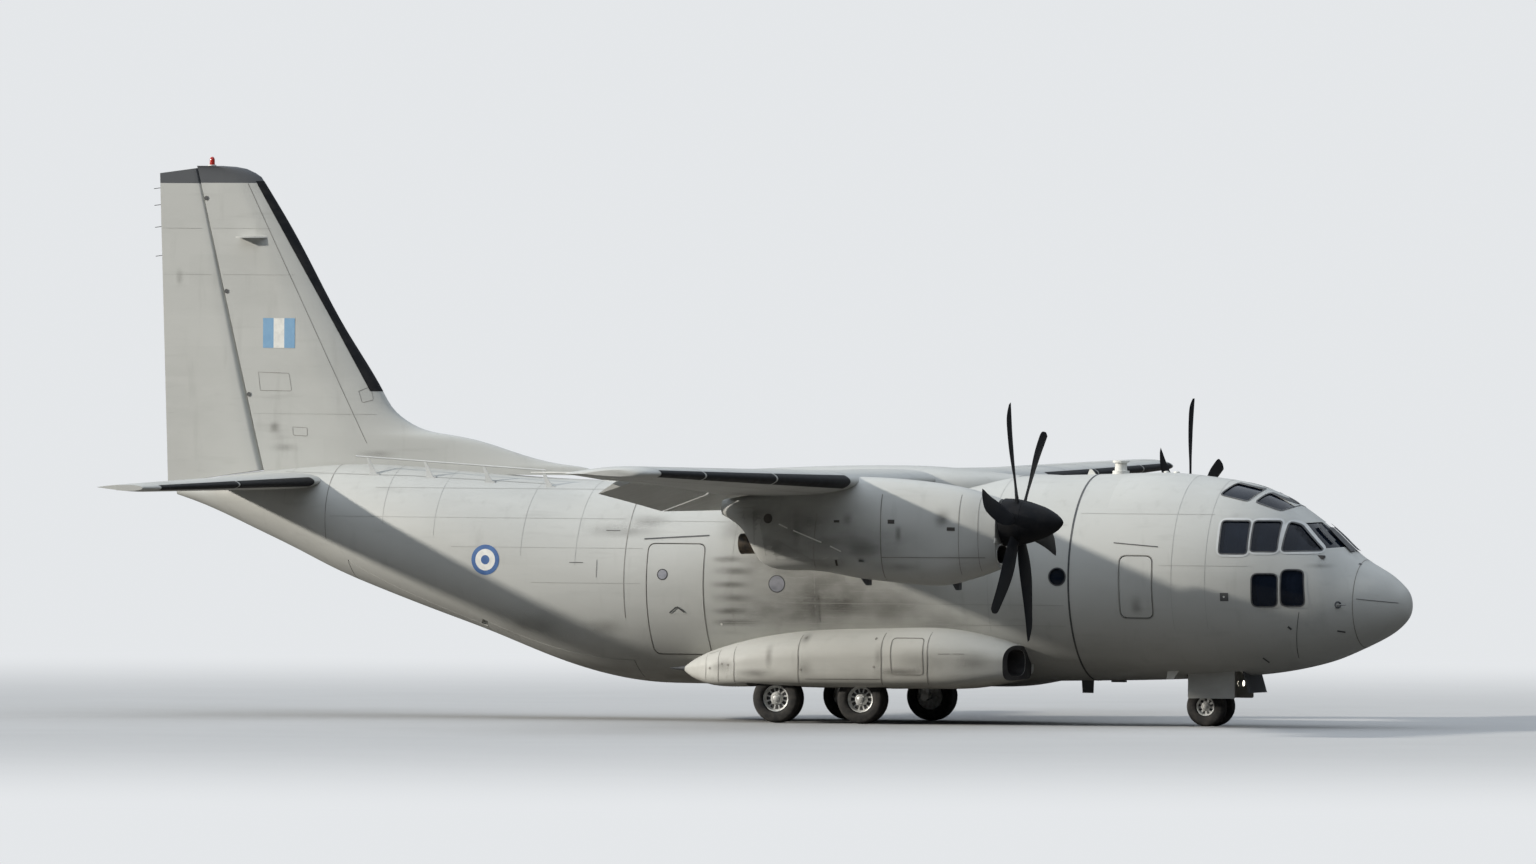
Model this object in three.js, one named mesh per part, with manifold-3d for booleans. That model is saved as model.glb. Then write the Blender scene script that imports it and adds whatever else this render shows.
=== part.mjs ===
// Twin turboprop military transport plane, parked on its gear.
// Millimetres. X forward, Y to port, Z up. The origin is on the ground under the middle of the plane.
import * as THREE from "three";
import { mergeVertices } from "three/addons/utils/BufferGeometryUtils.js";
import Module from "manifold-3d";

const wasm = await Module();
wasm.setup();

// Driving dimensions
const ROUND = 28; // points around the fuselage
const WHEEL_SIDES = 20;
const GAP = 0.5; // gap between pieces that touch
const SEAM = 12; // gap around doors and covers
const WALL = 110; // fuselage wall with its frames
const FRAME_JOINT = 5800; // front section to centre section, in the propeller plane
const REAR_JOINT = -2200; // centre section to rear section
const TAIL_JOINT = -7900; // rear section to tail cone
const RADOME_JOINT = 10570;
const FLOOR_TOP = 1280; // cargo floor
const COCKPIT_FLOOR = 1990;
const ENGINE_Y = 4750; // propeller shafts
const ENGINE_Z = 3490;
const PROPELLER_X = 5890;
const CENTRE_HALF_SPAN = 5270; // where the outer wing panels start
const HALF_SPAN = 14350;
const MAIN_WHEELS_X = [650, 2170];
const MAIN_WHEEL_Y = 1880;
const MAIN_RADIUS = 420;
const NOSE_WHEEL_X = 7800;
const NOSE_WHEEL_Y = 235;
const NOSE_RADIUS = 340;
const STEERING_X = 7860;
const FLAP_REST = 22; // degrees down, as parked

// Colours, all low-visibility greys and blacks
const paint = (color, roughness, metalness) => new THREE.MeshStandardMaterial({ color, roughness, metalness });
const GREY = paint(0xb4b6b0, 0.6, 0.1);
const PALE = paint(0xc9cac3, 0.55, 0.1);
const DARK = paint(0x4a4d50, 0.6, 0.2);
const BLACK = paint(0x16171a, 0.5, 0.1);
const RUBBER = paint(0x151515, 0.9, 0.0);
const METAL = paint(0xb8babc, 0.35, 0.9);
const GLASS = paint(0x1c2226, 0.1, 0.0);

const plane = new THREE.Group();

// Solids: from a geometry, and back to one
function solid(geometry) {
  const bare = geometry.index ? geometry.toNonIndexed() : geometry.clone();
  bare.deleteAttribute("normal");
  bare.deleteAttribute("uv");
  const merged = mergeVertices(bare, 0.01);
  return new wasm.Manifold(new wasm.Mesh({
    numProp: 3,
    vertProperties: new Float32Array(merged.attributes.position.array),
    triVerts: new Uint32Array(merged.index.array),
  }));
}

function piece(name, body, material) {
  const mesh = body.getMesh();
  const geometry = new THREE.BufferGeometry();
  geometry.setAttribute("position", new THREE.BufferAttribute(new Float32Array(mesh.vertProperties), 3));
  geometry.setIndex(new THREE.BufferAttribute(new Uint32Array(mesh.triVerts), 1));
  geometry.computeVertexNormals();
  const item = new THREE.Mesh(geometry, material);
  item.name = name;
  plane.add(item);
  return item;
}

// The largest of the separate bodies that a cut leaves
function largest(body) {
  return body.decompose().sort((a, b) => b.volume() - a.volume())[0];
}

function join(...bodies) {
  return bodies.reduce((sum, body) => sum.add(body));
}

// A closed body through rings of equally many points, with flat ends
function loft(rings) {
  const count = rings[0].length;
  const points = rings.flat();
  const faces = [];
  for (let r = 0; r + 1 < rings.length; r += 1) {
    for (let k = 0; k < count; k += 1) {
      const a = r * count + k;
      const b = r * count + ((k + 1) % count);
      faces.push(a, b, b + count, a, b + count, a + count);
    }
  }
  for (const [ring, flip] of [[0, false], [rings.length - 1, true]]) {
    const centre = [0, 1, 2].map((i) => rings[ring].reduce((s, p) => s + p[i], 0) / count);
    points.push(centre);
    for (let k = 0; k < count; k += 1) {
      const a = ring * count + k;
      const b = ring * count + ((k + 1) % count);
      faces.push(...(flip ? [a, b, points.length - 1] : [b, a, points.length - 1]));
    }
  }
  let volume = 0;
  for (let i = 0; i < faces.length; i += 3) {
    const [a, b, c] = [0, 1, 2].map((j) => new THREE.Vector3(...points[faces[i + j]]));
    volume += a.dot(b.cross(c));
  }
  if (volume < 0) {
    faces.reverse();
  }
  const geometry = new THREE.BufferGeometry();
  geometry.setAttribute("position", new THREE.BufferAttribute(new Float32Array(points.flat()), 3));
  geometry.setIndex(faces);
  return solid(geometry);
}

// Prisms whose outline lies across one axis and which run along it
function prism(outline, from, to, matrix) {
  const shape = new THREE.Shape(outline.map(([a, b]) => new THREE.Vector2(a, b)));
  const geometry = new THREE.ExtrudeGeometry(shape, { depth: to - from, bevelEnabled: false, curveSegments: 8 });
  geometry.translate(0, 0, from);
  geometry.applyMatrix4(matrix);
  return solid(geometry);
}

const X = new THREE.Vector3(1, 0, 0);
const Y = new THREE.Vector3(0, 1, 0);
const Z = new THREE.Vector3(0, 0, 1);
const alongX = (yz, from, to) => prism(yz, from, to, new THREE.Matrix4().makeBasis(Y, Z, X));
const alongY = (xz, from, to) => prism(xz.map(([x, z]) => [x, z]), -to, -from,
  new THREE.Matrix4().makeBasis(X, Z, Y.clone().negate()));
const alongZ = (xy, from, to) => prism(xy, from, to, new THREE.Matrix4());

function box(x0, x1, y0, y1, z0, z1) {
  return alongZ([[x0, y0], [x1, y0], [x1, y1], [x0, y1]], z0, z1);
}

function rod(from, to, radius, sides = 12, radiusEnd = radius) {
  const a = new THREE.Vector3(...from);
  const b = new THREE.Vector3(...to);
  const geometry = new THREE.CylinderGeometry(radiusEnd, radius, a.distanceTo(b), sides);
  geometry.translate(0, a.distanceTo(b) / 2, 0);
  geometry.applyQuaternion(new THREE.Quaternion().setFromUnitVectors(Y, b.clone().sub(a).normalize()));
  geometry.translate(...from);
  return solid(geometry);
}

// A body of revolution about an axis through a point; the profile is [distance along axis, radius]
function turned(profile, at, axis, sides) {
  const geometry = new THREE.LatheGeometry(profile.map(([a, r]) => new THREE.Vector2(r, a)), sides);
  geometry.applyQuaternion(new THREE.Quaternion().setFromUnitVectors(Y, axis));
  geometry.translate(...at);
  return solid(geometry);
}

const mirrored = (body) => body.mirror([0, 1, 0]);

// A smooth curve through a column of a table whose first column rises, with no overshoot
function curve(table, column) {
  const n = table.length;
  const at = table.map((row) => row[0]);
  const value = table.map((row) => row[column]);
  const step = at.slice(1).map((a, i) => a - at[i]);
  const slope = step.map((h, i) => (value[i + 1] - value[i]) / h);
  const tangent = value.map((_, i) => {
    if (i === 0) return slope[0];
    if (i === n - 1) return slope[n - 2];
    if (slope[i - 1] * slope[i] <= 0) return 0;
    const before = 2 * step[i] + step[i - 1];
    const after = step[i] + 2 * step[i - 1];
    return (before + after) / (before / slope[i - 1] + after / slope[i]);
  });
  return (a) => {
    let i = 0;
    while (i < n - 2 && a > at[i + 1]) i += 1;
    const t = (a - at[i]) / step[i];
    const [t2, t3] = [t * t, t * t * t];
    return (2 * t3 - 3 * t2 + 1) * value[i] + (t3 - 2 * t2 + t) * step[i] * tangent[i]
      + (3 * t2 - 2 * t3) * value[i + 1] + (t3 - t2) * step[i] * tangent[i + 1];
  };
}

// A section across X: an oval with its own squareness above and below its widest line
function oval(x, side, half, bottom, top, above, below, count) {
  const middle = (top + bottom) / 2;
  const rise = (top - bottom) / 2;
  const bend = (v, power) => Math.sign(v) * Math.abs(v) ** (2 / power);
  return Array.from({ length: count }, (_, k) => {
    const a = (2 * Math.PI * k) / count;
    const power = Math.sin(a) >= 0 ? above : below;
    return [x, side + half * bend(Math.cos(a), power), middle + rise * bend(Math.sin(a), power)];
  });
}

// Fuselage: x, top, bottom, half width, squareness below
const FUSELAGE = [
  [-11000, 3950, 3790, 60, 2],
  [-10600, 4030, 3660, 220, 2],
  [-9480, 4200, 3190, 560, 2],
  [-8710, 4275, 2850, 820, 2.1],
  [-8000, 4340, 2520, 1030, 2.2],
  [-7120, 4350, 2180, 1270, 2.3],
  [-6000, 4270, 1790, 1510, 2.4],
  [-5000, 4190, 1450, 1650, 2.5],
  [-3780, 4120, 990, 1740, 2.4],
  [-2270, 4110, 650, 1770, 2.1],
  [-1500, 4120, 625, 1775, 2],
  [3770, 4215, 700, 1775, 2],
  [5090, 4255, 740, 1775, 2],
  [6340, 4300, 765, 1773, 2],
  [7310, 4305, 797, 1760, 2],
  [7880, 4245, 825, 1725, 2],
  [8490, 4150, 870, 1630, 2],
  [8830, 4050, 900, 1550, 2],
  [9310, 3820, 970, 1400, 2],
  [9670, 3580, 1045, 1270, 2],
  [10030, 3310, 1145, 1120, 2],
  [10300, 3060, 1250, 985, 2],
  [10570, 2860, 1370, 840, 2],
  [11000, 2610, 1590, 560, 2],
  [11180, 2465, 1725, 395, 2],
  [11300, 2330, 1860, 245, 2],
  [11345, 2215, 1960, 130, 2],
  [11360, 2110, 2060, 30, 2],
];

// The whole fuselage outline, grown or shrunk by some distance, and a length of it
const outlines = new Map();
function wholeHull(grow) {
  if (!outlines.has(grow)) {
    const rows = FUSELAGE.filter(([, , , half]) => grow >= 0 || half + grow > 80);
    outlines.set(grow, loft(rows.map(([x, top, bottom, half, square]) => oval(x, 0, half + grow, bottom - grow,
      top + grow, 2, square, ROUND))));
  }
  return outlines.get(grow);
}

const hull = (from, to, grow) => wholeHull(grow).intersect(box(from, to, -3000, 3000, 0, 6000));

const shell = (from, to) => hull(from, to, 0).subtract(hull(from - 60, to + 60, -WALL));

// Wing: station y, leading edge, chord, height at quarter chord, nose-up degrees
const WING_THICK = 0.125;
const WING = {
  root: { y: 0, lead: 3130, chord: 3400, height: 4105, angle: 3.5 },
  kink: { y: CENTRE_HALF_SPAN, lead: 3130, chord: 3400, height: 4105, angle: 3.5 },
  tip: { y: 13900, lead: 2640, chord: 1690, height: 4325, angle: 0.5 },
};

function station(y) {
  const t = (Math.abs(y) - WING.kink.y) / (WING.tip.y - WING.kink.y);
  const mix = (key) => (t <= 0 ? WING.root[key] : WING.kink[key] + (WING.tip[key] - WING.kink[key]) * t);
  return { y, lead: mix("lead"), chord: mix("chord"), height: mix("height"), angle: mix("angle") };
}

// Half thickness and camber line of a wing section, as shares of the chord
const halfThickness = (u, thick) => 5 * thick
  * (0.2969 * Math.sqrt(u) - 0.126 * u - 0.3516 * u ** 2 + 0.2843 * u ** 3 - 0.1016 * u ** 4);
const camberLine = (u, camber) => 4 * camber * u * (1 - u);

// Outline of a wing section from share u0 of the chord to the trailing edge, with a round nose
function outline(u0, thick, camber, steps, grow = 0) {
  const upper = [];
  const lower = [];
  for (let i = 0; i <= steps; i += 1) {
    const s = i / steps;
    const u = u0 === 0 ? 0.5 - 0.5 * Math.cos(Math.PI * s) : u0 + (1 - u0) * s;
    const half = Math.max(halfThickness(u, thick), 0.0012);
    const end = u + (i === steps ? grow : 0);
    upper.push([end, camberLine(u, camber) + half + grow]);
    lower.push([end, camberLine(u, camber) - half - grow]);
  }
  if (u0 === 0) {
    return [...upper.reverse(), [-grow, 0], ...lower.slice(1)];
  }
  const radius = halfThickness(u0, thick);
  const nose = [45, 90, 135].map((d) => (d * Math.PI) / 180)
    .map((a) => [u0 - radius * Math.sin(a), camberLine(u0, camber) + radius * Math.cos(a)]);
  return [...upper.reverse(), ...nose, ...lower];
}

// Places a point of a wing section in a station
function place(s, u, v) {
  const a = (s.angle * Math.PI) / 180;
  const ahead = (0.25 - u) * s.chord;
  const above = v * s.chord;
  return [s.lead - 0.25 * s.chord + ahead * Math.cos(a) - above * Math.sin(a), s.y,
    s.height + ahead * Math.sin(a) + above * Math.cos(a)];
}

const WING_CAMBER = 0.012;
const HINGE = 0.76; // share of the chord where flap and aileron noses are centred
const COVE = 0.715; // where the wing ends in front of them
const wingRing = (y, points) => points.map(([u, v]) => place(station(y), u, v));
const wingSolid = (ys, grow = 0) => loft(ys.map((y) => wingRing(y, outline(0, WING_THICK, WING_CAMBER, 12, grow))));
const behindCove = (y0, y1) => loft([y0, y1].map((y) => wingRing(y, [[COVE, 0.2], [1.2, 0.2], [1.2, -0.2], [COVE, -0.2]])));

// Control surfaces of the wing: name, inner end, outer end, drop of the hinge below the nose, rest degrees
const INNER_FLAP = { from: 1900, to: 5200, drop: 350, rest: FLAP_REST };
const OUTER_FLAP = { from: 5320, to: 10600, drop: 350, rest: FLAP_REST };
const AILERON = { from: 10690, to: 13700, drop: 0, rest: 0 };

function hingeLine(part) {
  return [part.from, part.to].map((y) => {
    const [x, , z] = place(station(y), HINGE, camberLine(HINGE, WING_CAMBER));
    return new THREE.Vector3(x, y, z - part.drop);
  });
}

function turn(body, [a, b], degrees) {
  const axis = b.clone().sub(a).normalize();
  const m = new THREE.Matrix4().makeTranslation(a)
    .multiply(new THREE.Matrix4().makeRotationAxis(axis, (degrees * Math.PI) / 180))
    .multiply(new THREE.Matrix4().makeTranslation(a.clone().negate()));
  return body.transform(m.elements);
}

function surface(part) {
  const rings = [part.from, part.to].map((y) => wingRing(y, outline(HINGE, WING_THICK, WING_CAMBER, 4)));
  return turn(loft(rings), hingeLine(part), -part.rest);
}

// Wing
const wingCut = wingSolid([-CENTRE_HALF_SPAN, CENTRE_HALF_SPAN], 0.0003);
const FLAP_SIDE = 25;
let wingCentre = wingSolid([-CENTRE_HALF_SPAN, CENTRE_HALF_SPAN]);
const innerCove = behindCove(INNER_FLAP.from - FLAP_SIDE, CENTRE_HALF_SPAN + 50);
wingCentre = wingCentre.subtract(innerCove).subtract(mirrored(innerCove));
piece("wing_centre", wingCentre, GREY);

// Round tip: y, size of the section about its thickest place
const TIP = [[14120, 0.93], [14280, 0.78], [HALF_SPAN, 0.5]];
const THICKEST = 0.42;
const wingOutline = outline(0, WING_THICK, WING_CAMBER, 12);
const tipRings = TIP.map(([y, size]) => wingOutline
  .map(([u, v]) => place(station(WING.tip.y), THICKEST + (u - THICKEST) * size, v * size))
  .map(([x, , z]) => [x, y, z]));
let wingOuter = loft([wingRing(CENTRE_HALF_SPAN + GAP, wingOutline), wingRing(WING.tip.y, wingOutline), ...tipRings]);
wingOuter = wingOuter.subtract(behindCove(CENTRE_HALF_SPAN - 50, AILERON.to + FLAP_SIDE));
const tipMast = rod([1250, 14150, 4330], [450, 14150, 4330], 16, 8);
wingOuter = wingOuter.add(tipMast);
for (const [side, flip] of [["left", (b) => b], ["right", mirrored]]) {
  piece(`wing_outer_${side}`, flip(wingOuter), GREY);
  piece(`flap_inner_${side}`, flip(surface(INNER_FLAP)), GREY);
  piece(`flap_outer_${side}`, flip(surface(OUTER_FLAP)), GREY);
  piece(`aileron_${side}`, flip(surface(AILERON)), GREY);
}

// Fairing over the wing on the roof: x, top, half width
const FAIRING = [
  [-3150, 4150, 300],
  [-2000, 4230, 700],
  [-600, 4310, 1000],
  [800, 4375, 1060],
  [2000, 4400, 1060],
  [3000, 4375, 1000],
  [3700, 4315, 800],
  [4400, 4240, 400],
];
const fairingSolid = loft(FAIRING.map(([x, top, half]) => oval(x, 0, half, 3300, top, 3, 3, 24)));
const aboveWing = box(-330, 3170, -1300, 1300, 4080, 5200);
piece("wing_fairing", largest(fairingSolid.subtract(hull(-4000, 5200, GAP).subtract(aboveWing)).subtract(wingCut)
  .subtract(box(-330, 3170, -1300, 1300, 3000, 4080))), PALE);

// Cockpit windows on the starboard side, outlines in X and Z: name, corners
const SIDE_WINDOWS = {
  rear: [[8420, 2960], [8870, 2960], [8850, 3510], [8400, 3510]],
  front: [[8930, 3000], [9340, 3000], [9320, 3510], [8910, 3510]],
  quarter: [[9420, 3010], [10030, 3020], [9600, 3450], [9430, 3500]],
  lowRear: [[8980, 2070], [9390, 2070], [9390, 2620], [8980, 2620]],
  lowFront: [[9450, 2080], [9830, 2080], [9790, 2690], [9450, 2690]],
};
const EYEBROWS = [
  [[8350, 4150], [8820, 4040], [8700, 3850], [8220, 3960]],
  [[8920, 3990], [9400, 3780], [9250, 3690], [8820, 3840]],
];
const WINDSHIELD = [[60, 3090], [860, 3050], [780, 3480], [60, 3500]];
const cutWindows = [
  ...Object.values(SIDE_WINDOWS).map((points) => alongY(points, 700, 2000)),
  ...EYEBROWS.map((points) => alongY(points, 250, 1700)),
  alongX(WINDSHIELD, 9300, 10700),
];

// Doors: outlines in X and Z, which cut the fuselage wall on one side
const grown = ([x0, z0, x1, z1], by) => [[x0 - by, z0 - by], [x1 + by, z0 - by], [x1 + by, z1 + by], [x0 - by, z1 + by]];
const CREW_DOOR = [6750, 1330, 7500, 2950];
const HATCH = [6710, 1860, 7270, 2900];
const PARA_DOOR = [-1780, 1150, -770, 3030];
const GEAR_BAY = [7500, 8470, 500]; // from, to, half width

const frontShell = hull(FRAME_JOINT + GAP, RADOME_JOINT - GAP, 0)
  .subtract(hull(FRAME_JOINT - 60, RADOME_JOINT - 60, -WALL));
let front = frontShell;
for (const cut of cutWindows) {
  front = front.subtract(cut).subtract(mirrored(cut));
}
front = front.subtract(alongY(grown(CREW_DOOR, SEAM), 900, 2000));
front = front.subtract(alongY(grown(HATCH, SEAM), -2000, -900));
front = front.subtract(box(GEAR_BAY[0], GEAR_BAY[1], -GEAR_BAY[2], GEAR_BAY[2], 500, 1300));
// Aerials: a round one on the roof, a flat bump and a swept blade under the belly
const roofAerial = rod([6160, 0, 4230], [6160, 0, 4340], 145, 16).add(rod([6160, 0, 4230], [6160, 0, 4520], 105, 16));
const bellyBump = box(6030, 6270, -60, 60, 730, 820);
const bellyBlade = alongY([[7250, 1000], [7480, 1000], [7340, 800], [7220, 800]], -700, -670);
piece("fuselage_front", front.add(roofAerial).add(bellyBump).add(bellyBlade), GREY);
piece("crew_door", frontShell.intersect(alongY(grown(CREW_DOOR, 0), 900, 2000)), GREY);
piece("emergency_hatch", frontShell.intersect(alongY(grown(HATCH, 0), -2000, -900)), GREY);
piece("radome", hull(RADOME_JOINT, 11360, 0), GREY);

const centreShell = shell(REAR_JOINT + GAP, FRAME_JOINT - GAP);
let centre = centreShell.subtract(wingCut).subtract(aboveWing);
const paraCut = alongY(grown(PARA_DOOR, SEAM), 1000, 2000);
const paraDoor = centreShell.intersect(alongY(grown(PARA_DOOR, 0), 1000, 2000));
centre = centre.subtract(paraCut).subtract(mirrored(paraCut));
const bellyMast = alongY([[5480, 820], [5700, 820], [5690, 540], [5500, 540]], -15, 15);
piece("fuselage_centre", largest(centre).add(bellyMast), GREY);
piece("para_door_left", paraDoor, GREY);
piece("para_door_right", mirrored(paraDoor), GREY);

// Ramp and upper cargo door, outlines in X and Z
const RAMP_HALF = 1150;
const UPPER_HALF = 950;
const RAMP_END = [-5150, 1300]; // foot of the slanted joint between ramp and upper door
const LEAN = 0.75; // how far the joint leans forward for each unit of height
const JOINT_RISE = 900; // height of the slanted joint
const UPPER_REAR = [-7500, 3000]; // rear edge of the upper door and the height its sides stay under
const rampOutline = (by) => [[REAR_JOINT - SEAM + by, 300], [REAR_JOINT - SEAM + by, FLOOR_TOP],
  [RAMP_END[0] + 400 * LEAN - by, RAMP_END[1] + 400], [RAMP_END[0] - by, RAMP_END[1]], [RAMP_END[0] - by, 300]];
const upperOutline = (by) => [[RAMP_END[0] - SEAM + by, RAMP_END[1] - 300], [RAMP_END[0] - SEAM + by, RAMP_END[1]],
  [RAMP_END[0] - SEAM + by + JOINT_RISE * LEAN, RAMP_END[1] + JOINT_RISE + by],
  [UPPER_REAR[0] - by, UPPER_REAR[1] + by], [UPPER_REAR[0] - by, 1000]];
const rearHull = hull(TAIL_JOINT + GAP, REAR_JOINT - GAP, 0);
const rearShell = rearHull.subtract(hull(TAIL_JOINT + 60, REAR_JOINT + 60, -WALL));
let rear = rearShell.subtract(alongY([[REAR_JOINT + 60, 300], [REAR_JOINT + 60, FLOOR_TOP + 200],
  [RAMP_END[0] + JOINT_RISE * LEAN, RAMP_END[1] + JOINT_RISE], [RAMP_END[0] - 40, RAMP_END[1] + 200],
  [RAMP_END[0] - 40, 300]], -RAMP_HALF - SEAM, RAMP_HALF + SEAM));
rear = rear.subtract(alongY(upperOutline(SEAM), -UPPER_HALF - SEAM, UPPER_HALF + SEAM));
piece("fuselage_rear", largest(rear), GREY);
piece("cargo_ramp", largest(rearHull.intersect(alongY(rampOutline(0), -RAMP_HALF, RAMP_HALF))), GREY);
piece("cargo_door_upper", largest(rearShell.intersect(alongY(upperOutline(0), -UPPER_HALF, UPPER_HALF))), GREY);

// Floors and cockpit
const inside = (from, to, by) => hull(from, to, -WALL - by);
piece("cargo_floor", inside(REAR_JOINT, 7400, GAP)
  .intersect(box(REAR_JOINT + SEAM, 7350, -1700, 1700, FLOOR_TOP - 60, FLOOR_TOP)), METAL);
const cockpitDoor = box(8100, 8200, -350, 350, COCKPIT_FLOOR, 3750);
piece("cockpit_floor", join(box(7620, 9950, -1700, 1700, COCKPIT_FLOOR - 60, COCKPIT_FLOOR),
  box(8130, 8180, -1750, 1750, COCKPIT_FLOOR - 10, 4300).subtract(cockpitDoor))
  .intersect(inside(7600, 10000, GAP)), DARK);
const LINER = 15; // thickness of the glazing band inside the wall
piece("cockpit_glazing", inside(8200, 10300, GAP).subtract(inside(8100, 10400, GAP + LINER))
  .intersect(box(8200, 10300, -2000, 2000, COCKPIT_FLOOR + GAP, 5000)), GLASS);
piece("instrument_panel", join(box(9600, 9800, -850, 850, COCKPIT_FLOOR + GAP, 2900),
  box(9450, 10080, -900, 900, 2880, 2960)).intersect(inside(9000, 10200, 60)), DARK);
for (const [side, sign] of [["left", 1], ["right", -1]]) {
  const y = 520 * sign;
  piece(`pilot_seat_${side}`, join(box(8800, 9250, y - 230, y + 230, 2330, 2450),
    alongY([[8760, 2400], [8880, 2400], [8800, 3280], [8690, 3280]], y - 220, y + 220),
    box(8850, 9150, y - 90, y + 90, COCKPIT_FLOOR + GAP, 2400)), DARK);
}

// Fin with its dorsal fillet: height, leading edge, half thickness
const FIN = [
  [3900, -3300, 180],
  [4180, -3300, 190],
  [4350, -3800, 200],
  [4590, -4880, 205],
  [4760, -5460, 210],
  [4860, -6010, 212],
  [4950, -6480, 212],
  [5110, -6810, 212],
  [5300, -7040, 212],
  [5610, -7240, 210],
  [6660, -7920, 185],
  [8270, -8840, 140],
  [9290, -9490, 110],
];
const RUDDER_FOOT = [-9390, 4220];
const RUDDER_RAKE = 0.2428; // how far the rudder's front edge goes back for each unit of height
const rudderFront = (z) => RUDDER_FOOT[0] - (z - RUDDER_FOOT[1]) * RUDDER_RAKE;
const rudderEnd = (z) => -11180 - (z - 4070) * 0.034;
const finRear = curve(FIN, 2);

// Half width of fin and rudder at a place: a round nose, full from a third of the way, then straight to the end
function finHalf(x, z, lead) {
  const full = finRear(z);
  const end = rudderEnd(z);
  const crest = rudderFront(z) + Math.min(1600, (lead - rudderFront(z)) * 0.6);
  if (x > crest) {
    const t = (lead - x) / (lead - crest);
    return full * Math.sqrt(Math.max(0, 1 - (1 - t) ** 2));
  }
  return 8 + (full - 8) * ((x - end) / (crest - end));
}

function finRing(z, lead, top = z) {
  const from = rudderFront(z) + 14;
  const shares = [0, 0.04, 0.12, 0.25, 0.45, 0.7, 1];
  const right = shares.map((s) => {
    const x = lead + (from - lead) * s;
    return [x, finHalf(x, z, lead), top];
  });
  return [...right, ...right.slice(1).reverse().map(([x, y, h]) => [x, -y, h])];
}

// The hollow between the spars of the fin
const FIN_SKIN = 40;
const FIN_HOLLOW = 4860; // height where it starts
const finCore = loft(FIN.filter(([z]) => z >= FIN_HOLLOW).map(([z, lead]) => {
  const from = rudderFront(z) + 14;
  const right = [0.3, 0.45, 0.7, 0.93].map((s) => {
    const x = lead + (from - lead) * s;
    return [x, finHalf(x, z, lead) - FIN_SKIN, z];
  });
  return [...right, ...right.slice().reverse().map(([x, y, h]) => [x, -y, h])];
}));

const FIN_START = -4000; // the fillet starts behind the fairing over the wing
let fin = loft([...FIN.map(([z, lead]) => finRing(z, lead)), finRing(9430, -9760), finRing(9480, -10200)]);
fin = largest(fin.subtract(hull(-10990, 0, GAP)).subtract(box(FIN_START, -3140, -500, 500, 3800, 5000)));
const finFoot = box(-8500, -7500, -80, 80, 4000, FIN_HOLLOW + 100); // the hollow opens into the fuselage
fin = fin.subtract(finCore).subtract(finFoot);
const finBlade = alongZ([[-9260, -98], [-9840, -98], [-9840, -330], [-9650, -330]], 8235, 8262);
fin = fin.add(rod([-10400, 0, 9450], [-10400, 0, 9640], 45, 10)).add(finBlade).add(mirrored(finBlade));
piece("fin", fin, GREY);

function rudderRing(z) {
  const nose = rudderFront(z);
  const radius = finHalf(nose, z, nose + 2000) * 0.98;
  const pivot = nose - radius;
  const arc = [90, 60, 30, 0, -30, -60, -90].map((d) => (d * Math.PI) / 180)
    .map((a) => [pivot + radius * Math.cos(a), radius * Math.sin(a), z]);
  return [[rudderEnd(z), 8, z], ...arc, [rudderEnd(z), -8, z]];
}

const rudderFloor = [[-9000, 4285], [-11500, 3934], [-11500, 3000], [-9000, 3000]];
const rudderRoof = [[-10400, 9475], [-11600, 9320], [-11600, 9800], [-10400, 9800]];
let rudder = loft([3900, 6000, 7700, 9480].map(rudderRing)).subtract(alongY(rudderFloor, -800, 800))
  .subtract(alongY(rudderRoof, -800, 800));
for (const z of [9250, 9050, 8800, 8450]) {
  rudder = rudder.add(rod([rudderEnd(z) + 30, 0, z], [rudderEnd(z) - 120, 0, z - 20], 6, 6));
}
piece("rudder", rudder, GREY);

// Tailplane: y, leading edge, trailing edge, height
const TAIL = [[0, -7960, -10350, 4050], [6000, -9090, -10270, 3950], [6200, -9350, -10200, 3945]];
const TAIL_THICK = 0.12;
const TAIL_HINGE = 0.66;
const tailStation = ([y, lead, end, height]) => ({ y, lead, chord: lead - end, height, angle: 0 });
const tailRing = (row, points) => points.map(([u, v]) => place(tailStation(row), u, v));
const tailAt = (y) => [0, 1, 2, 3].map((i) => (i === 0 ? y : TAIL[0][i] + (TAIL[1][i] - TAIL[0][i]) * (y / TAIL[1][0])));
const wholeTail = (grow) => {
  const rings = TAIL.map((row) => tailRing(row, outline(0, TAIL_THICK, 0, 10, grow)));
  const other = rings.slice(1).reverse().map((ring) => ring.map(([x, y, z]) => [x, -y, z]));
  return loft([...other, ...rings]);
};
const ELEVATOR = [700, 5950];
const elevatorCut = loft([tailAt(ELEVATOR[0] - 25), tailAt(6300)].map((row) => tailRing(row,
  [[TAIL_HINGE - 0.045, 0.2], [1.3, 0.2], [1.3, -0.2], [TAIL_HINGE - 0.045, -0.2]])));
// The hollow between the spars of the tailplane
const TAIL_SKIN = 0.015; // share of the chord
const tailCore = loft([-5900, 0, 5900].map((y) => {
  const upper = [0.08, 0.2, 0.35, 0.5, 0.58].map((u) => [u, halfThickness(u, TAIL_THICK) - TAIL_SKIN]);
  const ring = tailRing(tailAt(Math.abs(y)), [...upper, ...upper.slice().reverse().map(([u, v]) => [u, -v])]);
  return ring.map(([x, , z]) => [x, y, z]);
}));
const tailFoot = box(-8900, -8600, -100, 100, 3700, TAIL[0][3]); // the hollow opens into the cone
piece("tailplane", wholeTail(0).subtract(elevatorCut).subtract(mirrored(elevatorCut)).subtract(tailCore)
  .subtract(tailFoot), GREY);
const elevator = loft(ELEVATOR.map((y) => tailRing(tailAt(y), outline(TAIL_HINGE, TAIL_THICK, 0, 4))));
piece("elevator_left", elevator, GREY);
piece("elevator_right", mirrored(elevator), GREY);
const CONE_ROOM_TOP = 3850; // roof of the room inside the cone, below the tailplane
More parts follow.
